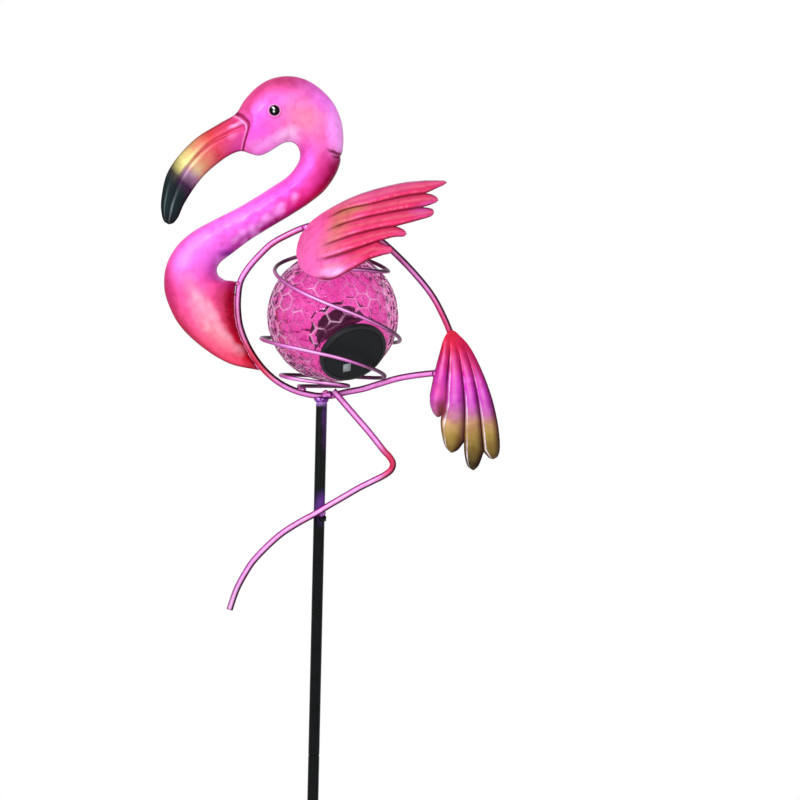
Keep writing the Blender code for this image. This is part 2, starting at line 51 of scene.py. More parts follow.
# %% [markdown]
# ## A few helpers
# A colour picked on a screen is an sRGB hex value, and a shader works in linear light, so one
# function turns the first into the second. Two more set up a shader node and add a new one, and
# another starts a material. The last turns a bmesh into an object that rides on the frame and
# stands for a CAD node.

# %% Colour, node and object helpers
def linear(hex_colour):
    """An sRGB hex colour as linear red, green, blue and alpha."""
    parts = [int(hex_colour[start:start + 2], 16) / 255 for start in (1, 3, 5)]
    return [part / 12.92 if part <= 0.04045 else ((part + 0.055) / 1.055) ** 2.4 for part in parts] + [1.0]


def set_up(tree, node, settings=None, links=None):
    """Set and link a shader node. Settings are keyed by property or input, and links by input."""
    for key, value in (settings or {}).items():
        if isinstance(key, str) and hasattr(node, key):
            setattr(node, key, value)
        else:
            node.inputs[key].default_value = value
    for key, socket in (links or {}).items():
        tree.links.new(socket, node.inputs[key])
    return node


def add(tree, kind, settings=None, links=None):
    """Add a shader node of a kind, with its settings and links."""
    return set_up(tree, tree.nodes.new("ShaderNode" + kind), settings, links)


def new_material(name):
    """A material with an empty Principled shader: returns it, its node tree and the shader."""
    material = bpy.data.materials.new(name)
    material.use_nodes = True
    return material, material.node_tree, material.node_tree.nodes["Principled BSDF"]


def finish_piece(name, bm, replaced):
    """Turn a bmesh into a smooth object that rides on the frame."""
    mesh = bpy.data.meshes.new(name)
    bm.to_mesh(mesh)
    bm.free()
    mesh.shade_smooth()
    piece = bpy.data.objects.new(name, mesh)
    bpy.context.scene.collection.objects.link(piece)
    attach(piece, "root")
    if replaced:
        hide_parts(*replaced)
    print(f"{name}: {len(mesh.vertices)} vertices")
    return piece


# %% [markdown]
# ## Sizes and the bird's own units
# The sizes are those of the solids, in metres. The bird's outlines are given in hundredths of its
# height above the pole, with their zero on the lowest point of the body's ring. That is how a sheet
# metal worker would scale up a drawing, and it keeps every outline tied to one size. MERGE is how
# near two corners of a mesh have to be to become one.

# %% Sizes
GAP = 0.0003
MERGE = 0.00001
ROD_RADIUS = 0.00425
ROD_LENGTH = 0.500
STUD_RADIUS = 0.0025
STUD_LENGTH = 0.0103
PRONG_RADIUS = 0.003
PRONG_SPACING = 0.106
PRONG_BEND_RADIUS = 0.008
STEP_HEIGHT = 0.153
POLE_LENGTH = 0.270
BIRD_HEIGHT = 0.2425
SHARE = BIRD_HEIGHT / 100
RING_RADIUS = 0.0025
LEG_RADIUS = 0.0025
COIL_RADIUS = 0.0015
GLOBE_RADIUS = 0.050
GLOBE_WALL = 0.0025
GLOBE_LIFT = 0.0109
GLOBE_ASIDE = 2.9
POLE_BOTTOM = ROD_LENGTH + GAP
POLE_TOP = POLE_BOTTOM + POLE_LENGTH
RING_BOTTOM = POLE_TOP + GAP + RING_RADIUS


def on_bird(x, z, y=0.0):
    """A place on the bird, from hundredths of its height to metres."""
    return Vector((x * SHARE, y, RING_BOTTOM + z * SHARE))


GLOBE_CENTRE = on_bird(GLOBE_ASIDE, 0.0) + Vector((0.0, 0.0, GLOBE_LIFT + GLOBE_RADIUS))
print("Globe centre:", tuple(round(value, 4) for value in GLOBE_CENTRE))

# %% [markdown]
# ## A smooth line through points
# Wires and sheet edges are drawn through a few points. A centripetal spline passes through every
# one of them and doesn't loop where two are close together. Its points are then spaced evenly, so
# that the faces built on it have an even size and shade without ripples.

# %% Smooth lines
CURVE_STEPS = 20


def smooth_line(points, count):
    """Points spaced evenly along a smooth curve through the given ones, in any dimension."""
    knots = np.array(points, dtype=float)
    ends = np.vstack((2 * knots[0] - knots[1], knots, 2 * knots[-1] - knots[-2]))
    dense = []
    for a, b, c, d in zip(ends, ends[1:], ends[2:], ends[3:]):
        t1 = np.linalg.norm(b - a) ** 0.5
        t2 = t1 + np.linalg.norm(c - b) ** 0.5
        t3 = t2 + np.linalg.norm(d - c) ** 0.5
        for step in range(CURVE_STEPS):
            t = t1 + (t2 - t1) * step / CURVE_STEPS
            ab = a + (b - a) * t / t1
            bc = b + (c - b) * (t - t1) / (t2 - t1)
            cd = c + (d - c) * (t - t2) / (t3 - t2)
            abc = ab + (bc - ab) * t / t2
            bcd = bc + (cd - bc) * (t - t1) / (t3 - t1)
            dense.append(abc + (bcd - abc) * (t - t1) / (t2 - t1))
    dense.append(knots[-1])
    dense = np.array(dense)
    runs = np.linalg.norm(np.diff(dense, axis=0), axis=1)
    reached = np.concatenate(((0.0,), np.cumsum(runs)))
    wanted = np.linspace(0.0, reached[-1], count)
    return np.column_stack([np.interp(wanted, reached, column) for column in dense.T])


def line_at(line, along):
    """The point at a share of the way along an evenly spaced line."""
    place = min(max(along, 0.0), 1.0) * (len(line) - 1)
    start = min(int(place + 1e-6), len(line) - 2)
    return line[start] + (line[start + 1] - line[start]) * (place - start)


def travel(points):
    """The length of the straight runs between the points."""
    return np.linalg.norm(np.diff(np.array(points), axis=0), axis=1).sum()


def rise(value, start, end):
    """A smooth step from 0 at start to 1 at end."""
    share = min(1.0, max(0.0, (value - start) / (end - start)))
    return share * share * (3 - 2 * share)


def bump(distance, width):
    """A rounded ridge, 1 in its middle and next to nothing past twice its width."""
    return math.exp(-(distance / width) ** 2)


def unevenness(place, per_metre, height):
    """Noise over the bird's plane, as a height. Hammered and stamped sheet is never quite flat."""
    return noise.noise(on_bird(*place) * per_metre) * height


# %% [markdown]
# ## A grid that remembers where it came from
# Each sheet piece starts as a flat grid, and a function then puts every corner in its place. The
# corner's place along and across the piece is kept in an attribute named "strip". The paint reads
# it later, so that a colour can follow the neck round its bends or stop at a feather's edge.

# %% Sheet grid
def add_sheet(bm, rows, columns, surface, first=0.0, last=1.0):
    """Add a grid placed by surface(along, across). The strip attribute keeps along and across."""
    strip = bm.verts.layers.float_vector.get("strip") or bm.verts.layers.float_vector.new("strip")
    made = bmesh.ops.create_grid(bm, x_segments=rows, y_segments=columns, size=1.0)
    for vert in made["verts"]:
        along = (vert.co.x + 1) / 2
        across = (vert.co.y + 1) / 2
        vert[strip] = (along, first + (last - first) * across, 0.0)
        vert.co = surface(along, across)


# %% [markdown]
# ## Beak, head, neck and breast
# On the real bird these are two stamped halves of thin steel, welded round their edge and hammered a
# little where the weld drew them out of shape. The outline is a list of pairs, one point on the
# outer edge and one across from it, from the beak's tip to the breast's point. Between a pair the
# half bulges out as half an ellipse. The beak is set lower than the head behind a raised lip, and
# its mouth is a groove. The rows near the lip are pushed toward the head until they follow it,
# because a row that runs along a crease keeps it sharp.

# %% Neck outline
NECK = (
    (-49.2, 52.7, -49.2, 52.7), (-50.7, 53.7, -47.8, 53.1), (-51.6, 56.8, -46.3, 54.9),
    (-51.6, 61.3, -44.4, 59.3), (-49.5, 69.8, -39.4, 67.1), (-41.8, 79.4, -32.9, 73.2),
    (-33.6, 84.9, -28.7, 75.7), (-28.9, 87.9, -26.4, 76.1), (-26.3, 92.1, -24.1, 75.4),
    (-22.5, 96.3, -21.5, 74.9), (-18.1, 99.0, -19.2, 75.6), (-12.4, 100.0, -16.5, 77.3),
    (-7.2, 99.0, -13.9, 78.9), (-2.4, 96.1, -11.7, 79.4), (1.6, 91.9, -9.9, 78.6),
    (4.1, 86.6, -8.8, 77.0), (5.0, 81.0, -8.5, 74.9), (4.6, 75.6, -9.1, 72.8),
    (3.2, 70.3, -10.9, 70.0), (-0.3, 64.7, -13.4, 67.6), (-4.8, 60.7, -17.1, 65.1),
    (-10.6, 56.7, -22.0, 61.8), (-17.3, 52.5, -28.2, 58.0), (-23.6, 48.4, -35.0, 54.4),
    (-28.8, 44.3, -41.5, 50.6), (-32.5, 41.3, -46.1, 46.4), (-33.7, 39.2, -48.8, 42.0),
    (-33.3, 37.2, -50.0, 38.1), (-31.1, 35.7, -50.2, 34.0), (-27.6, 35.0, -49.5, 29.9),
    (-27.7, 28.2, -45.6, 21.9), (-26.4, 20.4, -38.5, 15.0), (-23.3, 13.1, -29.1, 9.5),
    (-19.0, 7.5, -19.0, 7.5),
)
BEAK_END = 7
BREAST_START = 27
BEAK_SHARE = travel(NECK[:BEAK_END + 1]) / travel(NECK)
BREAST_SHARE = travel(NECK[:BREAST_START + 1]) / travel(NECK)
RING = (
    (36.2, 8.1), (34.5, 7.9), (28.2, 7.0), (23.1, 5.9), (17.9, 4.2), (12.7, 2.5), (7.6, 1.4),
    (2.6, 0.1), (0.0, 0.0), (-2.8, 0.2), (-8.1, 1.4), (-13.4, 3.9), (-17.8, 7.4), (-21.3, 11.6),
    (-24.1, 16.3), (-26.0, 21.1), (-26.8, 25.8), (-26.9, 30.6), (-26.2, 35.5), (-23.9, 39.6),
    (-20.5, 43.7), (-16.7, 47.4), (-11.8, 50.3), (-6.6, 52.7), (-1.1, 54.2), (4.5, 54.3),
    (10.2, 53.0), (15.6, 50.3), (20.0, 47.0), (27.8, 39.5), (34.0, 32.1), (38.1, 24.7),
    (40.4, 19.4),
)
RING_SAMPLES = 600
print(f"The beak is {BEAK_SHARE:.3f} and the breast starts at {BREAST_SHARE:.3f} of the strip")

# %% Neck surface
NECK_ROWS = 420
NECK_COLUMNS = 48
NECK_DEPTH = 0.013
NECK_FULLNESS = 0.62
NECK_SWELL = 1.1
LIP_STEP, LIP_STEP_FROM, LIP_STEP_TO = 0.0012, -0.0015, 0.0045
LIP_WAY = (1.0, 0.21)
LIP_ACROSS = (0.0, 0.03, 0.117, 0.304, 0.38, 0.46, 0.61, 0.80, 1.0)
LIP_OUT = (0.0, 0.5, 1.84, 3.35, 3.55, 3.35, 2.45, 1.2, 0.0)
LIP_REACH = 0.035
LIP_RIM, LIP_RIM_PLACE, LIP_RIM_WIDTH = 0.0009, -0.0050, 0.0022
LIP_CREASE, LIP_CREASE_WIDTH = 0.0011, 0.0018
LIP_EDGE_FADE = 2.5
MOUTH_LINE, MOUTH_SAG, MOUTH_SAG_END = 0.405, 0.10, 0.6
MOUTH_GROOVE, MOUTH_GROOVE_WIDTH = 0.0009, 0.0008
MOUTH_RIDGE, MOUTH_RIDGE_PLACE, MOUTH_RIDGE_WIDTH = 0.0005, -0.0024, 0.0018
MOUTH_TIP_FADE = (0.02, 0.05)
MOUTH_LIP_FADE = (0.002, 0.012)
DENT_BAND = ((-33.0, 45.6), (-24.0, 51.0), (-14.0, 57.6), (-6.0, 62.4), (0.2, 68.0))
DENT_BAND_POINTS = 80
DENT_BAND_WIDTH = 0.0075
DENT_SCALE, DENT_DEPTH = 190, 0.0009
DENT_EDGE_FADE = 3
WAVE_SCALE, WAVE_DEPTH = 38, 0.00035
RELIEF_SHARE = 0.4
FULL_RELIEF_DEPTH = 0.004
NICK = (4.9, 75.1)
NICK_WIDTH, NICK_CUT = 0.0018, 0.5
ON_PLANE = 1e-7


def clear_of_ring(point, ring):
    """Move a point of the breast's edge out to the ring's left side, where it would pass it."""
    near = int(np.argmin(np.linalg.norm(ring - point, axis=1)))
    run = ring[min(near + 1, len(ring) - 1)] - ring[max(near - 1, 0)]
    outward = np.array((-run[1], run[0])) / np.linalg.norm(run)
    edge = (RING_RADIUS + GAP) / SHARE
    if np.dot(point - ring[near], outward) < edge:
        return ring[near] + outward * edge
    return point


def neck_edges():
    """The pairs of edge points, evenly spaced, with the breast kept clear of the ring."""
    ring = smooth_line(RING, RING_SAMPLES)
    edges = smooth_line(NECK, NECK_ROWS + 1)
    for row, pair in enumerate(edges):
        if row > BREAST_SHARE * NECK_ROWS:
            pair[:2] = clear_of_ring(pair[:2], ring)
            pair[2:] = clear_of_ring(pair[2:], ring)
    return edges


def lip_relief(along, across):
    """The step down to the beak, with a raised rim before it and a crease behind it."""
    behind = along - BEAK_SHARE
    width = math.sin(math.pi * across)
    step = -LIP_STEP * (1 - rise(behind, LIP_STEP_FROM, LIP_STEP_TO))
    rim = LIP_RIM * bump(behind - LIP_RIM_PLACE, LIP_RIM_WIDTH)
    crease = -LIP_CREASE * bump(behind, LIP_CREASE_WIDTH)
    return (step + rim + crease) * min(1.0, LIP_EDGE_FADE * width)


def mouth_relief(along, across, width):
    """The groove between the beak's halves, with a soft ridge above it."""
    if along > BEAK_SHARE:
        return 0.0
    toward_tip = 1 - along / BEAK_SHARE
    middle = MOUTH_LINE + MOUTH_SAG * rise(toward_tip, 0.0, MOUTH_SAG_END)
    distance = (across - middle) * width * 2
    fade = rise(along, *MOUTH_TIP_FADE) * rise(BEAK_SHARE - along, *MOUTH_LIP_FADE)
    groove = -MOUTH_GROOVE * bump(distance, MOUTH_GROOVE_WIDTH)
    ridge = MOUTH_RIDGE * bump(distance - MOUTH_RIDGE_PLACE, MOUTH_RIDGE_WIDTH)
    return (groove + ridge) * fade


def dent_relief(place, band):
    """Small hammer marks in a band along the neck, and a slow unevenness everywhere."""
    distance = np.linalg.norm(band - np.array(place), axis=1).min() * SHARE
    marks = unevenness(place, DENT_SCALE, DENT_DEPTH) * bump(distance, DENT_BAND_WIDTH)
    return marks + unevenness(place, WAVE_SCALE, WAVE_DEPTH)


def make_head_and_neck():
    edges = neck_edges()
    band = smooth_line(DENT_BAND, DENT_BAND_POINTS)

    def surface(along, across):
        mix = (1 - math.cos(math.pi * across)) / 2
        pair = line_at(edges, along)
        place = pair[:2] + (pair[2:] - pair[:2]) * mix
        out = np.interp(mix, LIP_ACROSS, LIP_OUT) * bump(along - BEAK_SHARE, LIP_REACH)
        place = place + np.array(LIP_WAY) * out
        width = np.linalg.norm(pair[2:] - pair[:2]) / 2 * SHARE
        depth = min(NECK_FULLNESS * width, NECK_DEPTH * math.tanh(NECK_SWELL * width / NECK_DEPTH))
        bulge = math.sin(math.pi * across)
        relief = lip_relief(along, across) + mouth_relief(along, across, width)
        relief += dent_relief(place, band) * min(1.0, DENT_EDGE_FADE * bulge)
        relief = max(relief, -depth * bulge * RELIEF_SHARE)
        nick = bump(np.linalg.norm(place - np.array(NICK)) * SHARE, NICK_WIDTH)
        place = place - np.array((nick * NICK_CUT, 0.0))
        return on_bird(*place, -(depth * bulge + relief * min(1.0, depth / FULL_RELIEF_DEPTH)))

    bm = bmesh.new()
    add_sheet(bm, NECK_ROWS, NECK_COLUMNS, surface)
    for vert in bm.verts:
        if abs(vert.co.y) < ON_PLANE:
            vert.co.y = 0.0
    bmesh.ops.remove_doubles(bm, verts=bm.verts, dist=MERGE)
    bmesh.ops.mirror(bm, geom=bm.verts[:] + bm.edges[:] + bm.faces[:], axis="Y", merge_dist=MERGE)
    bmesh.ops.recalc_face_normals(bm, faces=bm.faces)
    return finish_piece("stamped_neck_shell", bm, ["head_and_neck"])


neck = make_head_and_neck()

# %% [markdown]
# ## Eyes
# Each eye is a glossy black bead that sits in a thin painted rim. A half circle is spun round the
# bead's own axis, then turned to face sideways and moved on to the head.

# %% Eyes
EYE_PLACE = (-16.5, 88.5)
EYE_RADIUS = 0.0050
EYE_HEIGHT = 0.0032
EYE_RIM = 0.00055
EYE_TURNS = 40
BEAD_STEPS = 14
RIM_STEPS = 12
RIM_LIFT = 0.4
EYE_SIDES = (("left", 1), ("right", -1))
SPIN_MERGE = 0.000004


def spin_profile(bm, profile, steps):
    """Spin points of radius and height round the Z axis, and close the seam and the poles."""
    verts = [bm.verts.new((radius, 0.0, height)) for radius, height in profile]
    edges = [bm.edges.new(pair) for pair in zip(verts, verts[1:])]
    bmesh.ops.spin(bm, geom=verts + edges, cent=(0, 0, 0), axis=(0, 0, 1), angle=2 * math.pi,
                   steps=steps, use_merge=True)
    bmesh.ops.remove_doubles(bm, verts=bm.verts, dist=SPIN_MERGE)
    bmesh.ops.recalc_face_normals(bm, faces=bm.faces)


def make_eye_part(name, profile, side, replaced):
    """Spin a profile and set it on the head's left side (1) or its right side (-1)."""
    bm = bmesh.new()
    spin_profile(bm, profile, EYE_TURNS)
    bmesh.ops.rotate(bm, verts=bm.verts, cent=(0, 0, 0),
                     matrix=Euler((-side * math.pi / 2, 0.0, 0.0)).to_matrix())
    bmesh.ops.translate(bm, verts=bm.verts, vec=on_bird(*EYE_PLACE, side * (NECK_DEPTH + GAP)))
    return finish_piece(name, bm, replaced)


bead_radius = EYE_RADIUS - 2 * EYE_RIM
bead_turns = [math.pi / 2 * step / BEAD_STEPS for step in range(BEAD_STEPS + 1)]
bead_profile = [(bead_radius * math.sin(turn), EYE_HEIGHT * math.cos(turn)) for turn in bead_turns]
bead_profile.append((0.0, 0.0))
rim_middle = EYE_RADIUS - EYE_RIM
rim_turns = [2 * math.pi * step / RIM_STEPS for step in range(RIM_STEPS + 1)]
rim_profile = [(rim_middle + EYE_RIM * math.cos(turn), EYE_RIM * (RIM_LIFT + math.sin(turn)))
               for turn in rim_turns]
beads = [make_eye_part(f"eye_{side}_bead", bead_profile, way, [f"eye_{side}"])
         for side, way in EYE_SIDES]
rims = [make_eye_part(f"eye_rim_{side}", rim_profile, way, [])
        for side, way in EYE_SIDES]

# %% [markdown]
# ## Wing and tail
# Both are single stampings of thin sheet. Lines fan out from one place: the first and last are the
# piece's edges and the others are the creases between feathers. Each feather is its own grid
# between two lines and runs on past the crease's end to a tip of its own. Across each feather the
# sheet rises slowly and then drops into the next crease, so that the feathers look overlapped. A
# Solidify modifier gives the sheet its thickness.

# %% Feather fans
FEATHER_ROWS = 74
FEATHER_TIP_ROWS = 26
FEATHER_COLUMNS = 20
FULL_WIDTH = 0.009
FEATHER_RIDGE = 0.0027


def crest(across, skew):
    """A feather's height across its width, 1 at its highest. The skew moves the crest sideways."""
    return math.sin(math.pi * across ** skew)


def feather_fan(bm, lines, tips, surface):
    """A fan of feathers that share their creases, as one sheet."""
    shared = [smooth_line(line, FEATHER_ROWS + 1) for line in lines]
    rows = FEATHER_ROWS + FEATHER_TIP_ROWS
    for index, (upper, tip, lower) in enumerate(tips):
        edges = []
        for line, edge in ((shared[index], upper), (shared[index + 1], lower)):
            outer = smooth_line((line[-1], *edge, tip), FEATHER_TIP_ROWS + 1)
            edges.append(np.vstack((line, outer[1:])))

        def place(along, across, edges=edges, index=index):
            a = line_at(edges[0], along)
            b = line_at(edges[1], along)
            fan = (index + across) / len(tips)
            width = np.linalg.norm(b - a) * SHARE
            return surface(a + (b - a) * across, along, across, fan, min(1.0, width / FULL_WIDTH))

        add_sheet(bm, rows, FEATHER_COLUMNS, place, index, index + 1)


def finish_sheet(name, bm, replaced, thickness):
    """Join the feathers, turn the sheet to face its show side, and give it its thickness."""
    bmesh.ops.remove_doubles(bm, verts=bm.verts, dist=MERGE)
    bmesh.ops.recalc_face_normals(bm, faces=bm.faces)
    if sum(face.normal.y * face.calc_area() for face in bm.faces) > 0:
        bmesh.ops.reverse_faces(bm, faces=bm.faces)
    piece = finish_piece(name, bm, replaced)
    solidify = piece.modifiers.new("sheet thickness", "SOLIDIFY")
    solidify.thickness = thickness
    solidify.offset = 0.0
    return piece


# %% Wing
WING_SHEET = 0.0011
WING_STANDOFF = 0.0085
WING_DOME, WING_DOME_FADE = 0.006, 0.6
WING_DOME_START = (-0.05, 0.25)
WING_CREASE_START = (0.14, 0.42)
WING_SKEW = 1.45
WING_WAVE_SCALE, WING_WAVE_DEPTH = 70, 0.0003
WING_LINES = (
    ((-7.7, 49.9), (-4.8, 54.0), (1.7, 58.8), (10.9, 63.4), (23.6, 67.1), (30.8, 68.0)),
    ((-8.4, 47.4), (-4.0, 51.8), (1.5, 55.6), (6.5, 58.2), (14.4, 60.0), (25.3, 62.7), (30.9, 63.6)),
    ((-8.7, 45.1), (-3.7, 48.0), (1.7, 51.4), (8.4, 54.2), (19.3, 56.9), (29.7, 58.9)),
    ((-8.6, 43.4), (-4.2, 44.4), (0.5, 46.3), (5.9, 48.5), (16.2, 51.5), (21.8, 52.5)),
    ((-8.1, 41.8), (-4.7, 41.3), (-0.3, 42.0), (5.5, 43.5), (10.2, 45.2), (16.6, 47.7)),
    ((-7.2, 39.6), (-5.0, 37.5), (-2.7, 36.3), (2.7, 35.4), (8.8, 38.4), (13.9, 41.7)),
)
WING_TIPS = (
    (((35.0, 68.1), (36.9, 68.0)), (37.5, 67.5), ((33.6, 65.1), (36.6, 66.7))),
    (((33.2, 63.1), (34.6, 62.2)), (34.9, 61.4), ((31.9, 59.7), (34.0, 60.7))),
    (((32.3, 58.6), (33.4, 58.1)), (33.6, 57.2), ((28.7, 54.7), (32.9, 56.3))),
    (((23.7, 51.8), (25.0, 50.9)), (25.3, 50.3), ((21.5, 49.2), (24.6, 49.5))),
    (((18.8, 46.5), (20.7, 45.9)), (21.4, 45.0), ((18.1, 43.3), (20.8, 44.1))),
)


def wing_slope(back):
    """How far the wing leans out for each metre down, so that it stands off the globe."""
    shoulder = on_bird(*WING_LINES[0][2]).z - GLOBE_CENTRE.z
    tangent = math.asin((GLOBE_RADIUS + WING_STANDOFF) / math.hypot(shoulder, back))
    return math.tan(tangent - math.atan(back / shoulder))


def make_wing():
    back = RING_RADIUS + GAP + WING_SHEET / 2
    slope = wing_slope(back)
    top_edge = smooth_line(WING_LINES[0], FEATHER_ROWS + 1)

    def surface(point, along, across, fan, fullness):
        top = np.interp(point[0], top_edge[:, 0], top_edge[:, 1])
        drop = max(top - point[1], 0.0) * SHARE
        dome = WING_DOME * 4 * fan * (1 - fan) * rise(along, *WING_DOME_START)
        dome *= 1 - WING_DOME_FADE * along
        ridge = FEATHER_RIDGE * crest(across, WING_SKEW) * rise(along, *WING_CREASE_START) * fullness
        uneven = unevenness(point, WING_WAVE_SCALE, WING_WAVE_DEPTH)
        return on_bird(*point, -(back + drop * slope + dome + ridge + uneven))

    bm = bmesh.new()
    feather_fan(bm, WING_LINES, WING_TIPS, surface)
    return finish_sheet("stamped_wing", bm, ["wing"], WING_SHEET)


wing = make_wing()

# %% Tail
TAIL_SHEET = 0.0011
TAIL_DOME = 0.004
TAIL_DOME_END = 0.4
TAIL_CREASE_START = (0.05, 0.3)
TAIL_SKEW = 0.8
TAIL_WAVE_SCALE, TAIL_WAVE_DEPTH = 90, 0.0002
TAIL_LINES = (
    ((39.6, 21.5), (38.2, 19.6), (36.8, 14.4), (35.1, 7.3), (34.0, 1.2)),
    ((40.0, 21.5), (39.8, 16.9), (39.5, 10.6), (39.1, 4.3), (38.9, -0.6), (37.8, -4.8)),
    ((40.7, 21.4), (42.4, 15.3), (43.8, 7.5), (44.8, -1.8), (44.9, -13.3)),
    ((41.3, 21.2), (44.9, 14.8), (47.6, 6.1), (49.7, -4.9), (51.0, -16.2)),
    ((41.8, 20.8), (45.4, 17.1), (49.4, 9.9), (53.1, 0.7), (55.2, -7.6), (55.9, -12.6)),
)
TAIL_TIPS = (
    (((34.2, -1.9), (35.3, -4.6)), (36.4, -5.7), ((37.2, -5.5),)),
    (((37.5, -6.8), (38.0, -11.0), (39.3, -15.0)), (41.0, -16.7), ((44.4, -13.9), (42.9, -15.8))),
    (((45.2, -17.2), (46.3, -20.8)), (47.9, -22.0), ((50.6, -17.4), (49.3, -20.7))),
    (((51.9, -17.1), (53.0, -18.1)), (54.1, -18.4), ((55.9, -15.6), (55.3, -17.6))),
)


def make_tail():
    back = RING_RADIUS + GAP + TAIL_SHEET / 2

    def surface(point, along, across, fan, fullness):
        dome = TAIL_DOME * 4 * fan * (1 - fan) * rise(along, 0.0, TAIL_DOME_END)
        ridge = FEATHER_RIDGE * crest(across, TAIL_SKEW) * rise(along, *TAIL_CREASE_START) * fullness
        uneven = unevenness(point, TAIL_WAVE_SCALE, TAIL_WAVE_DEPTH)
        return on_bird(*point, -(back + dome + ridge + uneven))

    bm = bmesh.new()
    feather_fan(bm, TAIL_LINES, TAIL_TIPS, surface)
    return finish_sheet("stamped_tail", bm, ["tail_feathers"], TAIL_SHEET)


tail = make_tail()

# %% [markdown]
# ## Wires
# The body's outline, the globe's spiral and the lifted leg are bent steel wire. A curve with a
# round bevel is the plainest way to sweep a wire, and it is turned into a mesh at once, so that the
# piece has real faces. The spiral's turns are worked out by a loop: it passes behind the globe from
# left to right and in front of it from right to left, always a wire's radius off the glass.

# %% Wire helper
WIRE_RESOLUTION = 5
WIRE_BURR = 0.2


def make_wire(name, points, radius, replaced):
    """A round wire along the points, as a mesh with flat ends."""
    curve = bpy.data.curves.new(name, "CURVE")
    curve.dimensions = "3D"
    curve.bevel_depth = radius
    curve.bevel_resolution = WIRE_RESOLUTION
    curve.use_fill_caps = True
    spline = curve.splines.new("POLY")
    spline.points.add(len(points) - 1)
    for knot, point in zip(spline.points, points):
        knot.co = (*point, 1.0)
    swept = bpy.data.objects.new(name + "_path", curve)
    bpy.context.scene.collection.objects.link(swept)
    mesh = bpy.data.meshes.new_from_object(swept.evaluated_get(bpy.context.evaluated_depsgraph_get()))
    bm = bmesh.new()
    bm.from_mesh(mesh)
    bpy.data.objects.remove(swept)
    bmesh.ops.remove_doubles(bm, verts=bm.verts, dist=MERGE)
    bmesh.ops.recalc_face_normals(bm, faces=bm.faces)
    # The sides are quads, so the faces with more corners are the cut ends
    caps = [face for face in bm.faces if len(face.verts) > 4]
    bmesh.ops.bevel(bm, geom=[edge for face in caps for edge in face.edges], offset=radius * WIRE_BURR,
                    offset_type="OFFSET", affect="EDGES", segments=2, profile=0.5, material=-1)
    return finish_piece(name, bm, replaced)


# %% Ring and leg
LEG = (
    (3.6, 1.8), (6.5, -1.4), (9.3, -4.5), (12.1, -7.6), (15.0, -10.8), (17.6, -13.9), (19.9, -16.7),
    (21.8, -18.7), (22.8, -20.6), (22.3, -22.5), (20.3, -24.2), (16.6, -26.2), (12.6, -28.3),
    (8.0, -31.1), (3.4, -33.9), (-1.2, -36.8), (-4.9, -38.9), (-8.3, -41.0), (-11.7, -43.4),
    (-14.8, -46.2), (-17.9, -49.4), (-20.6, -52.6), (-23.0, -56.6), (-25.0, -60.6), (-26.2, -64.0),
    (-27.2, -67.3),
)
RING_POINTS = 240
ring_line = [on_bird(x, z) for x, z in smooth_line(RING, RING_POINTS)]
ring_wire = make_wire("ring_wire", ring_line, RING_RADIUS, ["body_ring"])
LEG_POINTS = 150
LEG_BEND_END = 0.3
leg_at_ring = RING_RADIUS + LEG_RADIUS + GAP
leg_at_pole = ROD_RADIUS + LEG_RADIUS + GAP
leg_line = []
for index, (x, z) in enumerate(smooth_line(LEG, LEG_POINTS)):
    toward_pole = rise(index / (LEG_POINTS - 1), 0.0, LEG_BEND_END)
    leg_line.append(on_bird(x, z, -(leg_at_ring + (leg_at_pole - leg_at_ring) * toward_pole)))
leg_wire = make_wire("leg_wire", leg_line, LEG_RADIUS, ["bent_leg"])

# %% Spiral round the globe
COIL_BASE = 0.015
FOOT_TURNS = 4
COIL_SIDES = (
    (-49.0, -109.6), (26.2, -109.1), (-77.1, -91.2), (81.0, -91.2),
    (-107.7, -35.9), (102.8, -34.0), (-89.7, 68.9), (82.9, 69.8), (-72.3, 62.6),
)
COIL_PASSES = (-107.2, -100.4, -90.7, -59.2, -34.4, 10.2, 98.0, 67.4)
COIL_HALF_TURNS = 7.42
COIL_POINTS = 420
CAP_RADIUS = 0.026
CAP_FLANGE = 0.0045
SEAT_MARGIN = 0.0025
SEAT_RADIUS = CAP_RADIUS + SEAT_MARGIN
SEAT_HEIGHT = math.sqrt(GLOBE_RADIUS ** 2 - SEAT_RADIUS ** 2)
FLANGE_BOTTOM = SEAT_HEIGHT + GAP
CAP_FACE = FLANGE_BOTTOM + CAP_FLANGE
CAP_REACH = math.hypot(CAP_FACE, CAP_RADIUS)


def height_over_ring(x):
    """The lowest height at which the spiral's wire passes over the ring's lower side at x."""
    reach = RING_RADIUS + COIL_RADIUS + GAP
    near = [point for point in ring_line if abs(point.x - x) < reach and point.z < GLOBE_CENTRE.z]
    return max(point.z + math.sqrt(reach ** 2 - (point.x - x) ** 2) for point in near)


def level_at(heights, place):
    """A height between evenly spaced ones, on a smooth curve."""
    index = min(int(place), len(heights) - 2)
    share = place - index
    start, end = heights[index], heights[index + 1]
    slope_in = (end - heights[max(index - 1, 0)]) / 2
    slope_out = (heights[min(index + 2, len(heights) - 1)] - start) / 2
    square = share * share
    cube = square * share
    return (start * (2 * cube - 3 * square + 1) + slope_in * (cube - 2 * square + share)
            + end * (3 * square - 2 * cube) + slope_out * (cube - square))


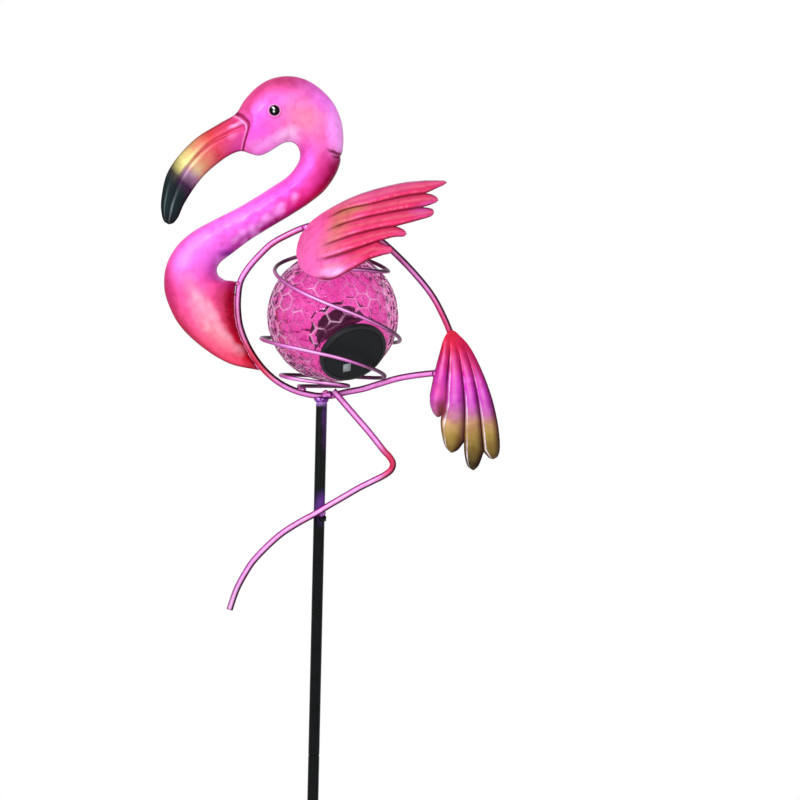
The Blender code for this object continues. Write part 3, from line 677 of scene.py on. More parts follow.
def coil_line():
    unit = GLOBE_RADIUS / 100
    sides = [(GLOBE_CENTRE.x + x * unit, GLOBE_CENTRE.z + z * unit) for x, z in COIL_SIDES]
    foot = [(x, max(z, height_over_ring(x))) for x, z in sides[:FOOT_TURNS]]
    sides = foot + sides[FOOT_TURNS:]
    heights = []
    for side, passing in zip(sides, COIL_PASSES):
        heights += [side[1], GLOBE_CENTRE.z + passing * unit]
    heights.append(sides[-1][1])
    heights[1] = (heights[0] + heights[2]) / 2
    points = []
    for step in range(COIL_POINTS):
        turns = COIL_HALF_TURNS * step / (COIL_POINTS - 1)
        half = min(int(turns), len(sides) - 2)
        share = turns - half
        middle = (sides[half][0] + sides[half + 1][0]) / 2
        swing = (sides[half][0] - sides[half + 1][0]) / 2
        x = middle + swing * math.cos(math.pi * share)
        z = level_at(heights, turns * 2)
        behind = half % 2 == 0
        reach = (GLOBE_RADIUS if behind else CAP_REACH) + COIL_RADIUS + GAP
        fall = z - GLOBE_CENTRE.z
        aside = x - GLOBE_CENTRE.x
        depth = math.sqrt(max(reach ** 2 - fall ** 2, COIL_BASE ** 2)) * math.sin(math.pi * share)
        depth = max(depth, math.sqrt(max(reach ** 2 - fall ** 2 - aside ** 2, 0.0)))
        points.append(Vector((x, depth if behind else -depth, z)))
    return points


coil_wire = make_wire("spiral_wire", coil_line(), COIL_RADIUS, ["globe_coil"])

# %% [markdown]
# ## Glass globe
# The globe is blown into a mould, so its outside has a honeycomb of raised lines with a shallow
# hollow in each cell, and its inside is smooth. The whole wall is one closed profile, outside, lip
# and inside, spun round the mouth's axis. Honeycomb on a ball can't be all hexagons: a subdivided
# icosahedron gives cell centres with just twelve pentagons. Each outer point looks up its two
# nearest centres. Where they are equally far, it is on a raised line.

# %% Lamp axis
CAP_TURN = math.radians(29)
CAP_DIP = math.radians(39.2)
mouth_way = Vector((math.sin(CAP_TURN) * math.cos(CAP_DIP),
                    -math.cos(CAP_TURN) * math.cos(CAP_DIP), -math.sin(CAP_DIP)))
lamp_turn = mouth_way.to_track_quat("Z", "X").to_matrix()


def place_on_lamp(bm):
    """Turn a piece made round the Z axis to the globe's mouth, and move it there."""
    bmesh.ops.rotate(bm, verts=bm.verts, cent=(0, 0, 0), matrix=lamp_turn)
    bmesh.ops.translate(bm, verts=bm.verts, vec=GLOBE_CENTRE)


def arc(radius, start, end, count):
    """Points on a circle round the axis, as radius and height, between two heights."""
    first = math.acos(start / radius)
    last = math.acos(end / radius)
    steps = [first + (last - first) * step / (count - 1) for step in range(count)]
    return [(radius * math.sin(angle), radius * math.cos(angle)) for angle in steps]


# %% Honeycomb globe
GLOBE_TURNS = 420
GLOBE_RINGS = 180
INNER_RINGS = 24
CELL_CUTS = 4
LINE_HEIGHT = 0.0010
LINE_WIDTH = 0.0008
CELL_HOLLOW = 0.0008
CELL_REACH = 0.006
OUTER_SKIN = 0.0001
PLAIN_SEAT = 0.001
MOUTH_RADIUS = 0.0208
LIP_DEPTH = 0.004


def honeycomb_centres():
    """Points spread over a ball as the corners of a finely divided icosahedron."""
    bm = bmesh.new()
    bmesh.ops.create_icosphere(bm, subdivisions=1, radius=1.0)
    bmesh.ops.subdivide_edges(bm, edges=bm.edges, cuts=CELL_CUTS, use_grid_fill=True)
    tree = KDTree(len(bm.verts))
    for index, vert in enumerate(bm.verts):
        tree.insert(vert.co.normalized() * GLOBE_RADIUS, index)
    tree.balance()
    print(f"Honeycomb of {len(bm.verts)} cells")
    bm.free()
    return tree


def make_globe():
    inner = GLOBE_RADIUS - GLOBE_WALL
    lip = SEAT_HEIGHT - LIP_DEPTH
    profile = arc(inner, -inner, lip, INNER_RINGS)
    profile[0] = (0.0, -inner)
    profile += [(MOUTH_RADIUS, lip), (MOUTH_RADIUS, SEAT_HEIGHT)]
    profile += arc(GLOBE_RADIUS, SEAT_HEIGHT, -GLOBE_RADIUS, GLOBE_RINGS)
    profile[-1] = (0.0, -GLOBE_RADIUS)
    bm = bmesh.new()
    spin_profile(bm, profile, GLOBE_TURNS)
    centres = honeycomb_centres()
    line = bm.verts.layers.float.new("line")
    for vert in bm.verts:
        if vert.co.length < GLOBE_RADIUS - OUTER_SKIN or vert.co.z > SEAT_HEIGHT - PLAIN_SEAT:
            continue
        (_, _, near), (_, _, next_near) = centres.find_n(vert.co, 2)
        from_line = (next_near - near) / 2
        vert[line] = bump(from_line, LINE_WIDTH)
        sunk = LINE_HEIGHT * (1 - vert[line]) + CELL_HOLLOW * rise(from_line, 0.0, CELL_REACH)
        vert.co *= 1 - sunk / GLOBE_RADIUS
    place_on_lamp(bm)
    return finish_piece("honeycomb_globe", bm, ["glass_globe"])


globe = make_globe()

# %% [markdown]
# ## Solar cap
# A moulded plastic housing holds the cell, the light and the switch. Its flange sits on the
# globe's seat, and a round solar panel is let into the flange's face. Both are spun from profiles,
# with the rounded corners that a mould leaves. A small pale film square is left on the panel.

# %% Cap and panel
HOUSING_RADIUS = 0.020
HOUSING_LENGTH = 0.030
PANEL_RIM = 0.0028
PANEL_THICKNESS = 0.0010
CAP_TURNS = 96
CORNER = 0.0007
FILM_THICKNESS = 0.00012
FILM_SIZES = (0.0074, 0.0060)
FILM_TURN = 0.30
FILM_PLACE = on_bird(7.9, 8.9)


def rounded(profile, radius, steps=4):
    """Round the inner corners of a profile: each becomes a short arc between its two sides."""
    points = [Vector(point) for point in profile]
    result = [points[0]]
    for before, corner, after in zip(points, points[1:], points[2:]):
        reach = min(radius, (corner - before).length / 2, (after - corner).length / 2)
        start = corner + (before - corner).normalized() * reach
        end = corner + (after - corner).normalized() * reach
        for step in range(steps + 1):
            share = step / steps
            result.append(start * (1 - share) ** 2 + corner * 2 * share * (1 - share) + end * share ** 2)
    return [tuple(point) for point in result + [points[-1]]]


def make_moulding(name, profile, corner, replaced):
    """A round part of the lamp, spun from its profile and turned to the globe's mouth."""
    bm = bmesh.new()
    spin_profile(bm, rounded(profile, corner), CAP_TURNS)
    place_on_lamp(bm)
    return finish_piece(name, bm, replaced)


def make_film():
    """A scrap of clear film on the panel, where the photograph's line of sight meets its face."""
    bm = bmesh.new()
    bmesh.ops.create_grid(bm, x_segments=1, y_segments=1, size=0.5)
    bmesh.ops.scale(bm, vec=(*FILM_SIZES, 1.0), verts=bm.verts)
    bmesh.ops.solidify(bm, geom=bm.faces[:], thickness=FILM_THICKNESS)
    bmesh.ops.rotate(bm, verts=bm.verts, cent=(0, 0, 0), matrix=Euler((0, 0, FILM_TURN)).to_matrix())
    bmesh.ops.rotate(bm, verts=bm.verts, cent=(0, 0, 0), matrix=lamp_turn)
    face_point = GLOBE_CENTRE + mouth_way * CAP_FACE
    sight = Vector((0, 1, 0))
    reach = (face_point - FILM_PLACE).dot(mouth_way) / sight.dot(mouth_way)
    bmesh.ops.translate(bm, verts=bm.verts, vec=FILM_PLACE + sight * reach)
    return finish_piece("film_square", bm, [])


recess = CAP_RADIUS - PANEL_RIM
recess_floor = CAP_FACE - PANEL_THICKNESS - GAP
housing_end = FLANGE_BOTTOM - HOUSING_LENGTH
cap = make_moulding("cap_housing", [
    (0.0, recess_floor), (recess, recess_floor), (recess, CAP_FACE), (CAP_RADIUS, CAP_FACE),
    (CAP_RADIUS, FLANGE_BOTTOM), (HOUSING_RADIUS, FLANGE_BOTTOM), (HOUSING_RADIUS, housing_end),
    (0.0, housing_end)], CORNER, ["solar_cap"])
panel_radius = recess - GAP
panel_top = CAP_FACE - GAP / 2
panel_back = CAP_FACE - PANEL_THICKNESS
panel = make_moulding("panel_disc", [
    (0.0, panel_top), (panel_radius, panel_top), (panel_radius, panel_back), (0.0, panel_back)],
    CORNER / 3, ["solar_panel"])
film = make_film()

# %% [markdown]
# ## Pole, ground stake and step
# These are cold-drawn rod, cut square with the burr knocked off. The pole's lower end takes the
# stake's stud. The step is a thinner rod, bent once and welded to the stake's side.

# %% Rods
ROD_SIDES = 48
BORE_RADIUS = STUD_RADIUS + GAP
BORE_DEPTH = STUD_LENGTH + 0.002
ROD_EDGE = 0.0006
BEND_STEPS = 16


def make_rod(name, profile, replaced):
    bm = bmesh.new()
    spin_profile(bm, rounded(profile, ROD_EDGE), ROD_SIDES)
    return finish_piece(name, bm, replaced)


bore_top = POLE_BOTTOM + BORE_DEPTH
pole = make_rod("pole_tube", [(0.0, POLE_TOP), (ROD_RADIUS, POLE_TOP), (ROD_RADIUS, POLE_BOTTOM),
                              (BORE_RADIUS, POLE_BOTTOM), (BORE_RADIUS, bore_top), (0.0, bore_top)],
                ["upper_pole"])
stud_top = ROD_LENGTH + STUD_LENGTH
stake = make_rod("stake_rod", [(0.0, stud_top), (STUD_RADIUS, stud_top), (STUD_RADIUS, ROD_LENGTH),
                               (ROD_RADIUS, ROD_LENGTH), (ROD_RADIUS, 0.0), (0.0, 0.0)],
                 ["ground_stake"])
prong_line = [Vector((-(ROD_RADIUS + GAP), 0.0, STEP_HEIGHT))]
for step in range(BEND_STEPS + 1):
    angle = math.pi / 2 * (1 + step / BEND_STEPS)
    prong_line.append(Vector((-PRONG_SPACING + PRONG_BEND_RADIUS * (1 + math.cos(angle)), 0.0,
                              STEP_HEIGHT - PRONG_BEND_RADIUS * (1 - math.sin(angle)))))
prong_line.append(Vector((-PRONG_SPACING, 0.0, 0.0)))
prong = make_wire("step_rod", prong_line, PRONG_RADIUS, ["step_prong"])

# %% [markdown]
# ## Weld beads
# The wires, the sheets and the rods are welded where they meet, and each weld leaves a small lumpy
# bead under the paint. A bead is an icosphere pressed flat and made uneven with noise. Along the
# seam of breast and ring runs a row of small ones. The bird's beads are one piece in the wire's
# paint. The beads on the stake and on the pole are two more, in black.

# %% Welds
BIRD_WELDS = (
    ((0.0, -1.1), -0.0005, (0.0054, 0.0052, 0.0030)),
    ((1.6, 0.6), -0.0040, (0.0044, 0.0028, 0.0030)),
    ((-6.5, 1.9), 0.0010, (0.0036, 0.0026, 0.0020)),
    ((0.6, -36.6), -0.0045, (0.0036, 0.0026, 0.0028)),
    ((35.3, 7.8), -0.0026, (0.0022, 0.0022, 0.0030)),
    ((40.2, 19.6), -0.0006, (0.0028, 0.0020, 0.0030)),
    ((-26.9, 34.6), -0.0006, (0.0030, 0.0024, 0.0020)),
    ((-5.6, 52.6), -0.0030, (0.0040, 0.0022, 0.0026)),
    ((12.8, 52.0), -0.0030, (0.0042, 0.0022, 0.0026)),
)
POLE_WELD = ((0.9, -38.3), -0.0022, (0.0034, 0.0030, 0.0030))
STEP_WELDS = (
    ((-0.0012, -0.0004, 0.0022), (0.0030, 0.0034, 0.0036)),
    ((-0.0004, 0.0, -0.0026), (0.0022, 0.0032, 0.0022)),
)
SEAM_WELDS = 44
SEAM_START, SEAM_RISE = 8.6, 22.0
SEAM_BEAD = (0.0012, 0.0014, 0.0020)
BREAST_SIDE = -0.04
BEAD_FINENESS = 4
LUMPS, LUMP_SCALE, LUMP_SPREAD = 0.28, 1.7, 300


def make_beads(name, beads):
    """One piece made of weld beads, each with its place, its half sizes and its fineness."""
    bm = bmesh.new()
    for centre, sizes, fineness in beads:
        made = bmesh.ops.create_icosphere(bm, subdivisions=fineness, radius=1.0)["verts"]
        for vert in made:
            wave = 1 + LUMPS * noise.noise(vert.co * LUMP_SCALE + centre * LUMP_SPREAD)
            vert.co = Vector([value * size for value, size in zip(vert.co * wave, sizes)]) + centre
    return finish_piece(name, bm, [])


def on_lines(place, y, sizes):
    """A bead at a place on the bird's drawing."""
    return on_bird(*place, y), sizes, BEAD_FINENESS


bird_beads = [on_lines(*weld) for weld in BIRD_WELDS]
breast_side = [point for point in ring_line if point.x < BREAST_SIDE]
for step in range(SEAM_WELDS):
    height = on_bird(0, SEAM_START + SEAM_RISE * step / (SEAM_WELDS - 1)).z
    beside = min(breast_side, key=lambda point: abs(point.z - height)).x
    seam_place = Vector((beside, 0.0, height)) + Vector((-RING_RADIUS, 0.0, 0.0))
    bird_beads.append((seam_place, SEAM_BEAD, BEAD_FINENESS - 1))
bird_welds = make_beads("bird_weld_beads", bird_beads)
step_beads = [(Vector((x - ROD_RADIUS, y, z + STEP_HEIGHT)), sizes, BEAD_FINENESS)
              for (x, y, z), sizes in STEP_WELDS]
stake_welds = make_beads("stake_weld_beads", step_beads)
pole_weld = make_beads("pole_weld_bead", [on_lines(*POLE_WELD)])

# %% [markdown]
# ## Candy paint
# The pinks are candy paint: a clear lacquer tinted with dye over bright metal. Light passes the
# dye, is reflected by the metal and passes the dye again, so the colour is deep in the hollows and
# glows where it faces the light. A partly metallic shader gives that, with a thin clear coat on top.
# Its gloss is tinted, because a white gloss would make the edges look like chrome. The colours run
# into each other because they are sprayed by hand, so each zone is a soft patch. A patch is an
# ellipse in the bird's own plane, laid over what is under it. Some patches are painted highlights
# and some are painted shade.

# %% Sprayed patches
METAL_SHARE = 0.3
MOTTLED = 0.32


def spray(tree, colour, patches):
    """Lay soft ellipses of colour over a colour socket, and return the result's socket."""
    place = add(tree, "TexCoord").outputs["Object"]
    # A hand-sprayed edge wavers by 5 mm either way, in waves about 17 mm long
    drift = add(tree, "TexNoise", {"Scale": 60.0, "Detail": 3.0}, {"Vector": place})
    wobble = add(tree, "VectorMath", {"operation": "MULTIPLY_ADD", 1: (0.010,) * 3, 2: (-0.005,) * 3},
                 {0: drift.outputs["Color"]})
    place = add(tree, "VectorMath", {"operation": "ADD"}, {0: place, 1: wobble.outputs[0]}).outputs[0]
    for centre, (long, short), turn, soft, strength, hex_colour in patches:
        local = add(tree, "Mapping", {"vector_type": "TEXTURE", "Location": on_bird(*centre),
                                      "Rotation": (0.0, math.radians(-turn), 0.0),
                                      "Scale": (long * SHARE, 1.0, short * SHARE)}, {"Vector": place})
        flat = add(tree, "VectorMath", {"operation": "MULTIPLY", 1: (1.0, 0.0, 1.0)},
                   {0: local.outputs["Vector"]})
        reach = add(tree, "VectorMath", {"operation": "LENGTH"}, {0: flat.outputs[0]})
        mask = add(tree, "MapRange", {"interpolation_type": "SMOOTHSTEP", "From Min": 1.0 + soft,
                                      "From Max": 1.0 - soft, "To Min": 0.0, "To Max": strength},
                   {"Value": reach.outputs["Value"]})
        colour = add(tree, "Mix", {"data_type": "RGBA", 7: linear(hex_colour)},
                     {0: mask.outputs["Result"], 6: colour}).outputs[2]
    return colour


def stripe(tree, value, centre, width, strength):
    """A mask that is strong where the value is near the centre and fades over the width."""
    off = add(tree, "Math", {"operation": "SUBTRACT", 1: centre}, {0: value})
    off = add(tree, "Math", {"operation": "ABSOLUTE"}, {0: off.outputs[0]})
    return add(tree, "MapRange", {"interpolation_type": "SMOOTHSTEP", "From Min": width, "From Max": 0.0,
                                  "To Min": 0.0, "To Max": strength}, {"Value": off.outputs[0]}).outputs[0]


def times(tree, *masks):
    """Several masks multiplied together."""
    product = masks[0]
    for mask in masks[1:]:
        product = add(tree, "Math", {"operation": "MULTIPLY"}, {0: product, 1: mask}).outputs[0]
    return product


def lay_over(tree, colour, mask, top):
    """One colour laid over another through a mask. The top colour is a hex value or a socket."""
    if isinstance(top, str):
        return add(tree, "Mix", {"data_type": "RGBA", 7: linear(top)}, {0: mask, 6: colour}).outputs[2]
    return add(tree, "Mix", {"data_type": "RGBA"}, {0: mask, 6: colour, 7: top}).outputs[2]


def darken(tree, colour, mask, shade):
    """A colour multiplied by a darker one through a mask, as thick dye does."""
    return add(tree, "Mix", {"data_type": "RGBA", "blend_type": "MULTIPLY", 7: linear(shade)},
               {0: mask, 6: colour}).outputs[2]


def ramp(tree, stops, factor):
    """A colour ramp with the given places and hex colours."""
    node = add(tree, "ValToRGB", {}, {"Fac": factor})
    points = node.color_ramp.elements
    while len(points) < len(stops):
        points.new(0.5)
    for point, (place, hex_colour) in zip(points, stops):
        point.position = place
        point.color = linear(hex_colour)
    return node.outputs["Color"]


def lacquer(tree, shader, colour, roughness=0.40, dented=0.3):
    """Set a shader to candy paint: bright metal below, tinted coat above, a little orange peel."""
    place = add(tree, "TexCoord").outputs["Object"]
    # Sprayed candy dye dries in soft mottles, about 6 mm across, with finer ones in them
    mottle = add(tree, "TexNoise", {"Scale": 150.0, "Detail": 4.0}, {"Vector": place}).outputs["Fac"]
    deep = add(tree, "MapRange", {"From Min": 0.46, "From Max": 0.70, "To Max": MOTTLED},
               {"Value": mottle}).outputs[0]
    colour = darken(tree, colour, deep, "#C05098")
    # Orange peel is about 1 mm across, and the sheet's own dents about 8 mm
    peel = add(tree, "TexNoise", {"Scale": 900.0, "Detail": 2.0}, {"Vector": place})
    dents = add(tree, "TexNoise", {"Scale": 120.0, "Detail": 1.0}, {"Vector": place})
    height = add(tree, "Math", {"operation": "MULTIPLY_ADD", 1: 0.06},
                 {0: peel.outputs["Fac"], 2: dents.outputs["Fac"]})
    shape = add(tree, "Bump", {"Strength": dented, "Distance": 0.0006}, {"Height": height.outputs[0]})
    rough = add(tree, "MapRange", {"To Min": roughness - 0.06, "To Max": roughness + 0.08},
                {"Value": dents.outputs["Fac"]}).outputs["Result"]
    # The dye reddens what the metal reflects near the edges, and the thin coat adds a soft gloss
    set_up(tree, shader, {"Metallic": METAL_SHARE, "Specular IOR Level": 0.25,
                          "Specular Tint": linear("#E070B8"), "Coat Weight": 0.10,
                          "Coat Roughness": 0.15},
           {"Base Color": colour, "Normal": shape.outputs["Normal"], "Roughness": rough})


def read_strip(tree):
    """The strip attribute's along and across and the Object coordinates, as three sockets."""
    strip = add(tree, "Attribute", {"attribute_name": "strip"}).outputs["Vector"]
    parts = add(tree, "SeparateXYZ", {}, {"Vector": strip}).outputs
    return parts["X"], parts["Y"], add(tree, "TexCoord").outputs["Object"]


def feather_place(tree, fan):
    """How far across its own feather a point is, and how far from the nearest crease."""
    across = add(tree, "Math", {"operation": "FRACT"}, {0: fan}).outputs[0]
    return across, add(tree, "Math", {"operation": "PINGPONG", 1: 0.5}, {0: across}).outputs[0]


# %% Neck paint
BEAK_SPLIT = 0.44
BEAK_LEAN, BEAK_LEAN_START = 0.16, -0.048
BEAK_EDGE = 0.0010
LIP_SHINE_WIDTH = 0.0032
LIP_SHADE_PLACE, LIP_SHADE_WIDTH = 0.0006, 0.0045
SEAM_AND_EDGE_SHADE_WIDTH = 0.0034
NECK_SPOTS = (
    ((-14.5, 57.7), 1.5), ((-13.6, 58.6), 1.1), ((-18.2, 54.8), 1.3), ((-22.8, 51.8), 1.6),
    ((-21.6, 50.4), 1.2), ((-26.3, 50.3), 1.2), ((-28.6, 48.4), 1.1), ((-25.3, 48.1), 1.0),
    ((-9.3, 61.5), 1.2), ((-20.1, 53.2), 0.9),
)
BREAST_SPOTS = (
    ((-36.9, 27.3), 1.5), ((-34.3, 23.6), 1.3), ((-31.8, 20.2), 1.5), ((-29.2, 17.4), 1.2),
    ((-35.9, 21.3), 1.1), ((-39.2, 30.3), 1.2), ((-26.7, 13.7), 1.3),
)


def paint_neck():
    material, tree, shader = new_material("candy_lacquer_on_stamped_steel_neck")
    along, across, coords = read_strip(tree)
    middle = ramp(tree, [(0.22, "#FF64D4"), (0.34, "#FF6CD4"), (0.44, "#FF60D4"), (0.53, "#FF48C0"),
                         (0.62, "#FF6CF4"), (0.74, "#FF74EC"), (0.80, "#FF58AC"), (0.90, "#FF5C88"),
                         (1.0, "#F03850")], along)
    # The edge ramps are partly red sprayed on the edges and partly painted light: pale painted highlights at
    # the back of the head and on the jaw, and painted shade along the lower neck and breast edges
    first_edge = ramp(tree, [(0.22, "#EC5CA0"), (0.27, "#DC4C8C"), (0.32, "#CC4480"), (0.355, "#E468C8"),
                             (0.385, "#FF9CFF"), (0.448, "#FFB0FF"), (0.462, "#900444"), (0.52, "#800034"),
                             (0.60, "#A81C80"), (0.66, "#C83CB4"), (0.73, "#DC58D8"), (0.78, "#C43498"),
                             (0.83, "#B40830"), (1.0, "#D81028")], along)
    other_edge = ramp(tree, [(0.22, "#E850A8"), (0.30, "#FF9CFF"), (0.36, "#FF8CF0"), (0.42, "#D848A8"),
                             (0.55, "#FF74EC"), (0.66, "#FF7CF0"), (0.74, "#F85CC0"), (0.79, "#D82C60"),
                             (0.86, "#B80838"), (0.94, "#D8204C"), (1.0, "#E02848")], along)
    near_first = add(tree, "MapRange", {"interpolation_type": "SMOOTHSTEP", "From Min": 0.50,
                                        "From Max": 0.16}, {"Value": across}).outputs[0]
    near_other = add(tree, "MapRange", {"interpolation_type": "SMOOTHSTEP", "From Min": 0.66,
                                        "From Max": 0.92}, {"Value": across}).outputs[0]
    colour = lay_over(tree, middle, near_first, first_edge)
    colour = lay_over(tree, colour, near_other, other_edge)
    patches = [
        ((-24.5, 92.0), (6.0, 2.6), 50, 0.8, 0.5, "#E04090"),
        ((-6.7, 86.4), (6.5, 5.0), -35, 0.9, 0.8, "#F088A4"),
        ((-2.0, 78.0), (2.2, 6.0), 0, 0.9, 0.5, "#F070B0"),
        ((-22.0, 83.0), (3.0, 5.0), 0, 0.9, 0.6, "#FF5CE6"),
        # Two pale patches on the jaw are painted highlights
        ((-17.5, 78.6), (5.5, 2.0), 14, 0.98, 0.7, "#FFB0FF"),
        ((-12.6, 81.1), (3.2, 2.2), 30, 0.98, 0.65, "#FFD8FF"),
        # A pale lilac painted highlight along the head's right rim
        ((2.6, 83.0), (1.8, 7.0), 4, 0.8, 0.8, "#FF9CFF"),
        ((-1.0, 91.5), (2.6, 4.5), 40, 0.9, 0.5, "#F468F0"),
        # Dark crimson on the neck's lower right bend: partly sprayed red, partly painted shade
        ((-0.4, 70.0), (3.4, 6.0), -20, 0.9, 0.6, "#C81068"),
        ((1.8, 66.0), (2.6, 9.0), -24, 0.7, 0.75, "#780034"),
        ((2.9, 76.2), (2.6, 0.45), -25, 0.7, 0.9, "#700838"),
        ((3.6, 74.7), (1.5, 0.40), -25, 0.7, 0.9, "#600830"),
        ((-4.0, 61.5), (7.0, 1.6), 40, 0.8, 0.7, "#C00448"),
        ((-9.0, 61.0), (6.0, 1.5), 40, 0.9, 0.6, "#FF34A0"),
        ((-30.4, 43.9), (1.6, 1.3), 0, 0.9, 0.8, "#701890"),
        ((-31.6, 39.6), (2.0, 2.6), 0, 0.9, 0.8, "#FFB0FF"),
        ((-37.5, 26.0), (2.6, 10.0), 30, 0.9, 0.85, "#FF94B8"),
        ((-33.0, 18.6), (1.8, 6.0), 46, 0.9, 0.8, "#FF98A8"),
        ((-48.4, 31.5), (1.5, 6.0), 8, 0.9, 0.6, "#C42C74"),
        ((-24.6, 12.6), (5.0, 1.8), -52, 0.6, 0.8, "#D01028"),
    ]
    # Hammer marks that catch the light: a row of pale spots down the neck, and a patch on the breast
    patches += [(spot, (size * 1.1, size * 0.8), 40, 0.98, 0.75, "#FFA4FF") for spot, size in NECK_SPOTS]
    patches += [(spot, (size * 1.5, size), 130, 0.95, 0.5, "#FFB8D0") for spot, size in BREAST_SPOTS]
    colour = spray(tree, colour, patches)
    # Dark specks of flux, about 3 mm across, beside the ring
    flecks = add(tree, "TexNoise", {"Scale": 330.0, "Detail": 2.0}, {"Vector": coords}).outputs["Fac"]
    flecks = add(tree, "MapRange", {"From Min": 0.56, "From Max": 0.68}, {"Value": flecks}).outputs[0]
    fleck_band = stripe(tree, across, 0.16, 0.26, 0.9)
    colour = lay_over(tree, colour, times(tree, flecks, fleck_band, stripe(tree, along, 0.86, 0.07, 1.0)),
                      "#6A0830")
    # The beak is masked off at the lip and sprayed red, cream and black toward its tip
    lean = add(tree, "Math", {"operation": "MULTIPLY_ADD", 1: BEAK_SHARE * BEAK_LEAN,
                              2: BEAK_SHARE * BEAK_LEAN_START}, {0: across}).outputs[0]
    toward_lip = add(tree, "Math", {"operation": "ADD"}, {0: along, 1: lean}).outputs[0]
    toward_lip = add(tree, "MapRange", {"From Max": BEAK_SHARE}, {"Value": toward_lip}).outputs[0]
    upper = ramp(tree, [(0.0, "#0A2824"), (0.36, "#0C2A28"), (0.43, "#34382C"), (0.48, "#A8A060"),
                        (0.54, "#E0D888"), (0.62, "#DCB478"), (0.69, "#DC8468"), (0.78, "#D84448"),
                        (0.90, "#D83C68"), (1.0, "#D44090")], toward_lip)
    lower = ramp(tree, [(0.0, "#0A2824"), (0.34, "#0C2A28"), (0.42, "#3C2444"), (0.50, "#A884A0"),
                        (0.57, "#DCBC8C"), (0.66, "#DC886C"), (0.80, "#E04C60"), (1.0, "#D8449C")],
                 toward_lip)
    below = add(tree, "MapRange", {"From Min": BEAK_SPLIT - 0.03, "From Max": BEAK_SPLIT + 0.03},
                {"Value": across}).outputs[0]
    beak = lay_over(tree, upper, below, lower)
    # Painted shade along the mouth groove, then painted highlights as pale streaks along the black tip
    mouth_groove_shade = times(tree, stripe(tree, across, BEAK_SPLIT + 0.02, 0.05, 0.85),
                 stripe(tree, toward_lip, 0.80, 0.42, 1.0))
    beak = lay_over(tree, beak, mouth_groove_shade, "#A01C38")
    for place, strength in ((BEAK_SPLIT - 0.14, 0.5), (BEAK_SPLIT + 0.10, 0.7)):
        black_tip_highlight = times(tree, stripe(tree, across, place, 0.05, strength),
                       stripe(tree, toward_lip, 0.16, 0.26, 1.0))
        beak = lay_over(tree, beak, black_tip_highlight, "#78888C")
    # Pale painted highlights on the beak near the lip
    beak = spray(tree, beak, [((-28.6, 84.2), (2.2, 0.6), 25, 0.9, 0.6, "#FFA8E0"),
                              ((-29.6, 80.6), (1.4, 0.8), 25, 0.9, 0.3, "#FF98D8")])
    on_beak = add(tree, "MapRange", {"From Min": BEAK_SHARE + BEAK_EDGE, "From Max": BEAK_SHARE - BEAK_EDGE},
                  {"Value": along}).outputs[0]
    colour = lay_over(tree, colour, on_beak, beak)
    # A painted highlight on the lip's raised rim and painted shade in the crease behind it
    colour = lay_over(tree, colour, stripe(tree, along, BEAK_SHARE + LIP_RIM_PLACE, LIP_SHINE_WIDTH, 0.7),
                      "#FF9CD4")
    colour = lay_over(tree, colour, stripe(tree, along, BEAK_SHARE + LIP_SHADE_PLACE, LIP_SHADE_WIDTH, 0.95),
                      "#8A0C48")
    # The welded edge is a thin dark line all round: partly the weld seam's burnt and rubbed paint, partly
    # painted shade where the sheet turns edge-on
    side = add(tree, "SeparateXYZ", {}, {"Vector": coords}).outputs["Y"]
    colour = darken(tree, colour, stripe(tree, side, 0.0, SEAM_AND_EDGE_SHADE_WIDTH, 0.9), "#7A3058")
    lacquer(tree, shader, colour)
    return material


neck.data.materials.append(paint_neck())

# %% Wing paint
def paint_wing():
    material, tree, shader = new_material("candy_lacquer_on_stamped_steel_wing")
    along, fan, coords = read_strip(tree)
    across, to_crease = feather_place(tree, fan)
    colour = ramp(tree, [(0.0, "#E84488"), (0.12, "#FF5CB0"), (0.30, "#F45490"), (0.5, "#EC3C70"),
                         (0.8, "#E83870"), (1.0, "#E04890")], along)
    patches = (
        ((-4.0, 45.0), (7.0, 9.0), 0, 0.7, 0.8, "#FF78C4"),
        ((0.5, 39.5), (8.0, 3.4), 8, 0.8, 0.8, "#FF74C8"),
        # A painted highlight low on the shoulder
        ((3.2, 38.0), (3.6, 2.0), 10, 0.8, 0.85, "#FFB8F4"),
        ((4.0, 52.5), (3.0, 7.5), -20, 0.95, 0.65, "#CC9058"),
        ((9.0, 58.2), (4.0, 1.6), 25, 0.9, 0.6, "#CC9450"),
        ((18.0, 64.0), (16.0, 1.5), 16, 0.8, 0.5, "#E858A8"),
        ((31.0, 58.6), (4.0, 1.4), 18, 0.7, 0.8, "#E058B4"),
    )
    colour = spray(tree, colour, patches)
    # Painted shade in the creases between the feathers, and painted highlight dots about 3 mm apart on
    # the feathers' lower edges
    outward = add(tree, "MapRange", {"interpolation_type": "SMOOTHSTEP", "From Min": 0.16,
                                     "From Max": 0.30}, {"Value": along}).outputs[0]
    crease_shade = stripe(tree, to_crease, 0.0, 0.22, 0.95)
    colour = darken(tree, colour, times(tree, crease_shade, outward), "#7A1838")
    highlight_dots = add(tree, "TexVoronoi", {"Scale": 330.0, "Randomness": 0.8}, {"Vector": coords})
    highlight_dots = add(tree, "MapRange", {"From Min": 0.5, "From Max": 0.2},
                {"Value": highlight_dots.outputs["Distance"]}).outputs[0]
    row = stripe(tree, across, 0.80, 0.10, 0.32)
    colour = lay_over(tree, colour, times(tree, highlight_dots, row, outward), "#FFA0B0")
    # A painted sheen on each feather's raised half
    sheen = times(tree, stripe(tree, across, 0.45, 0.20, 0.45), outward)
    colour = lay_over(tree, colour, sheen, "#FF7C8C")
    # The rolled top edge gets a pale painted highlight
    colour = lay_over(tree, colour, stripe(tree, fan, 0.0, 0.14, 0.75), "#E8B8D8")
    lacquer(tree, shader, colour, dented=0.2)
    return material


wing.data.materials.append(paint_wing())

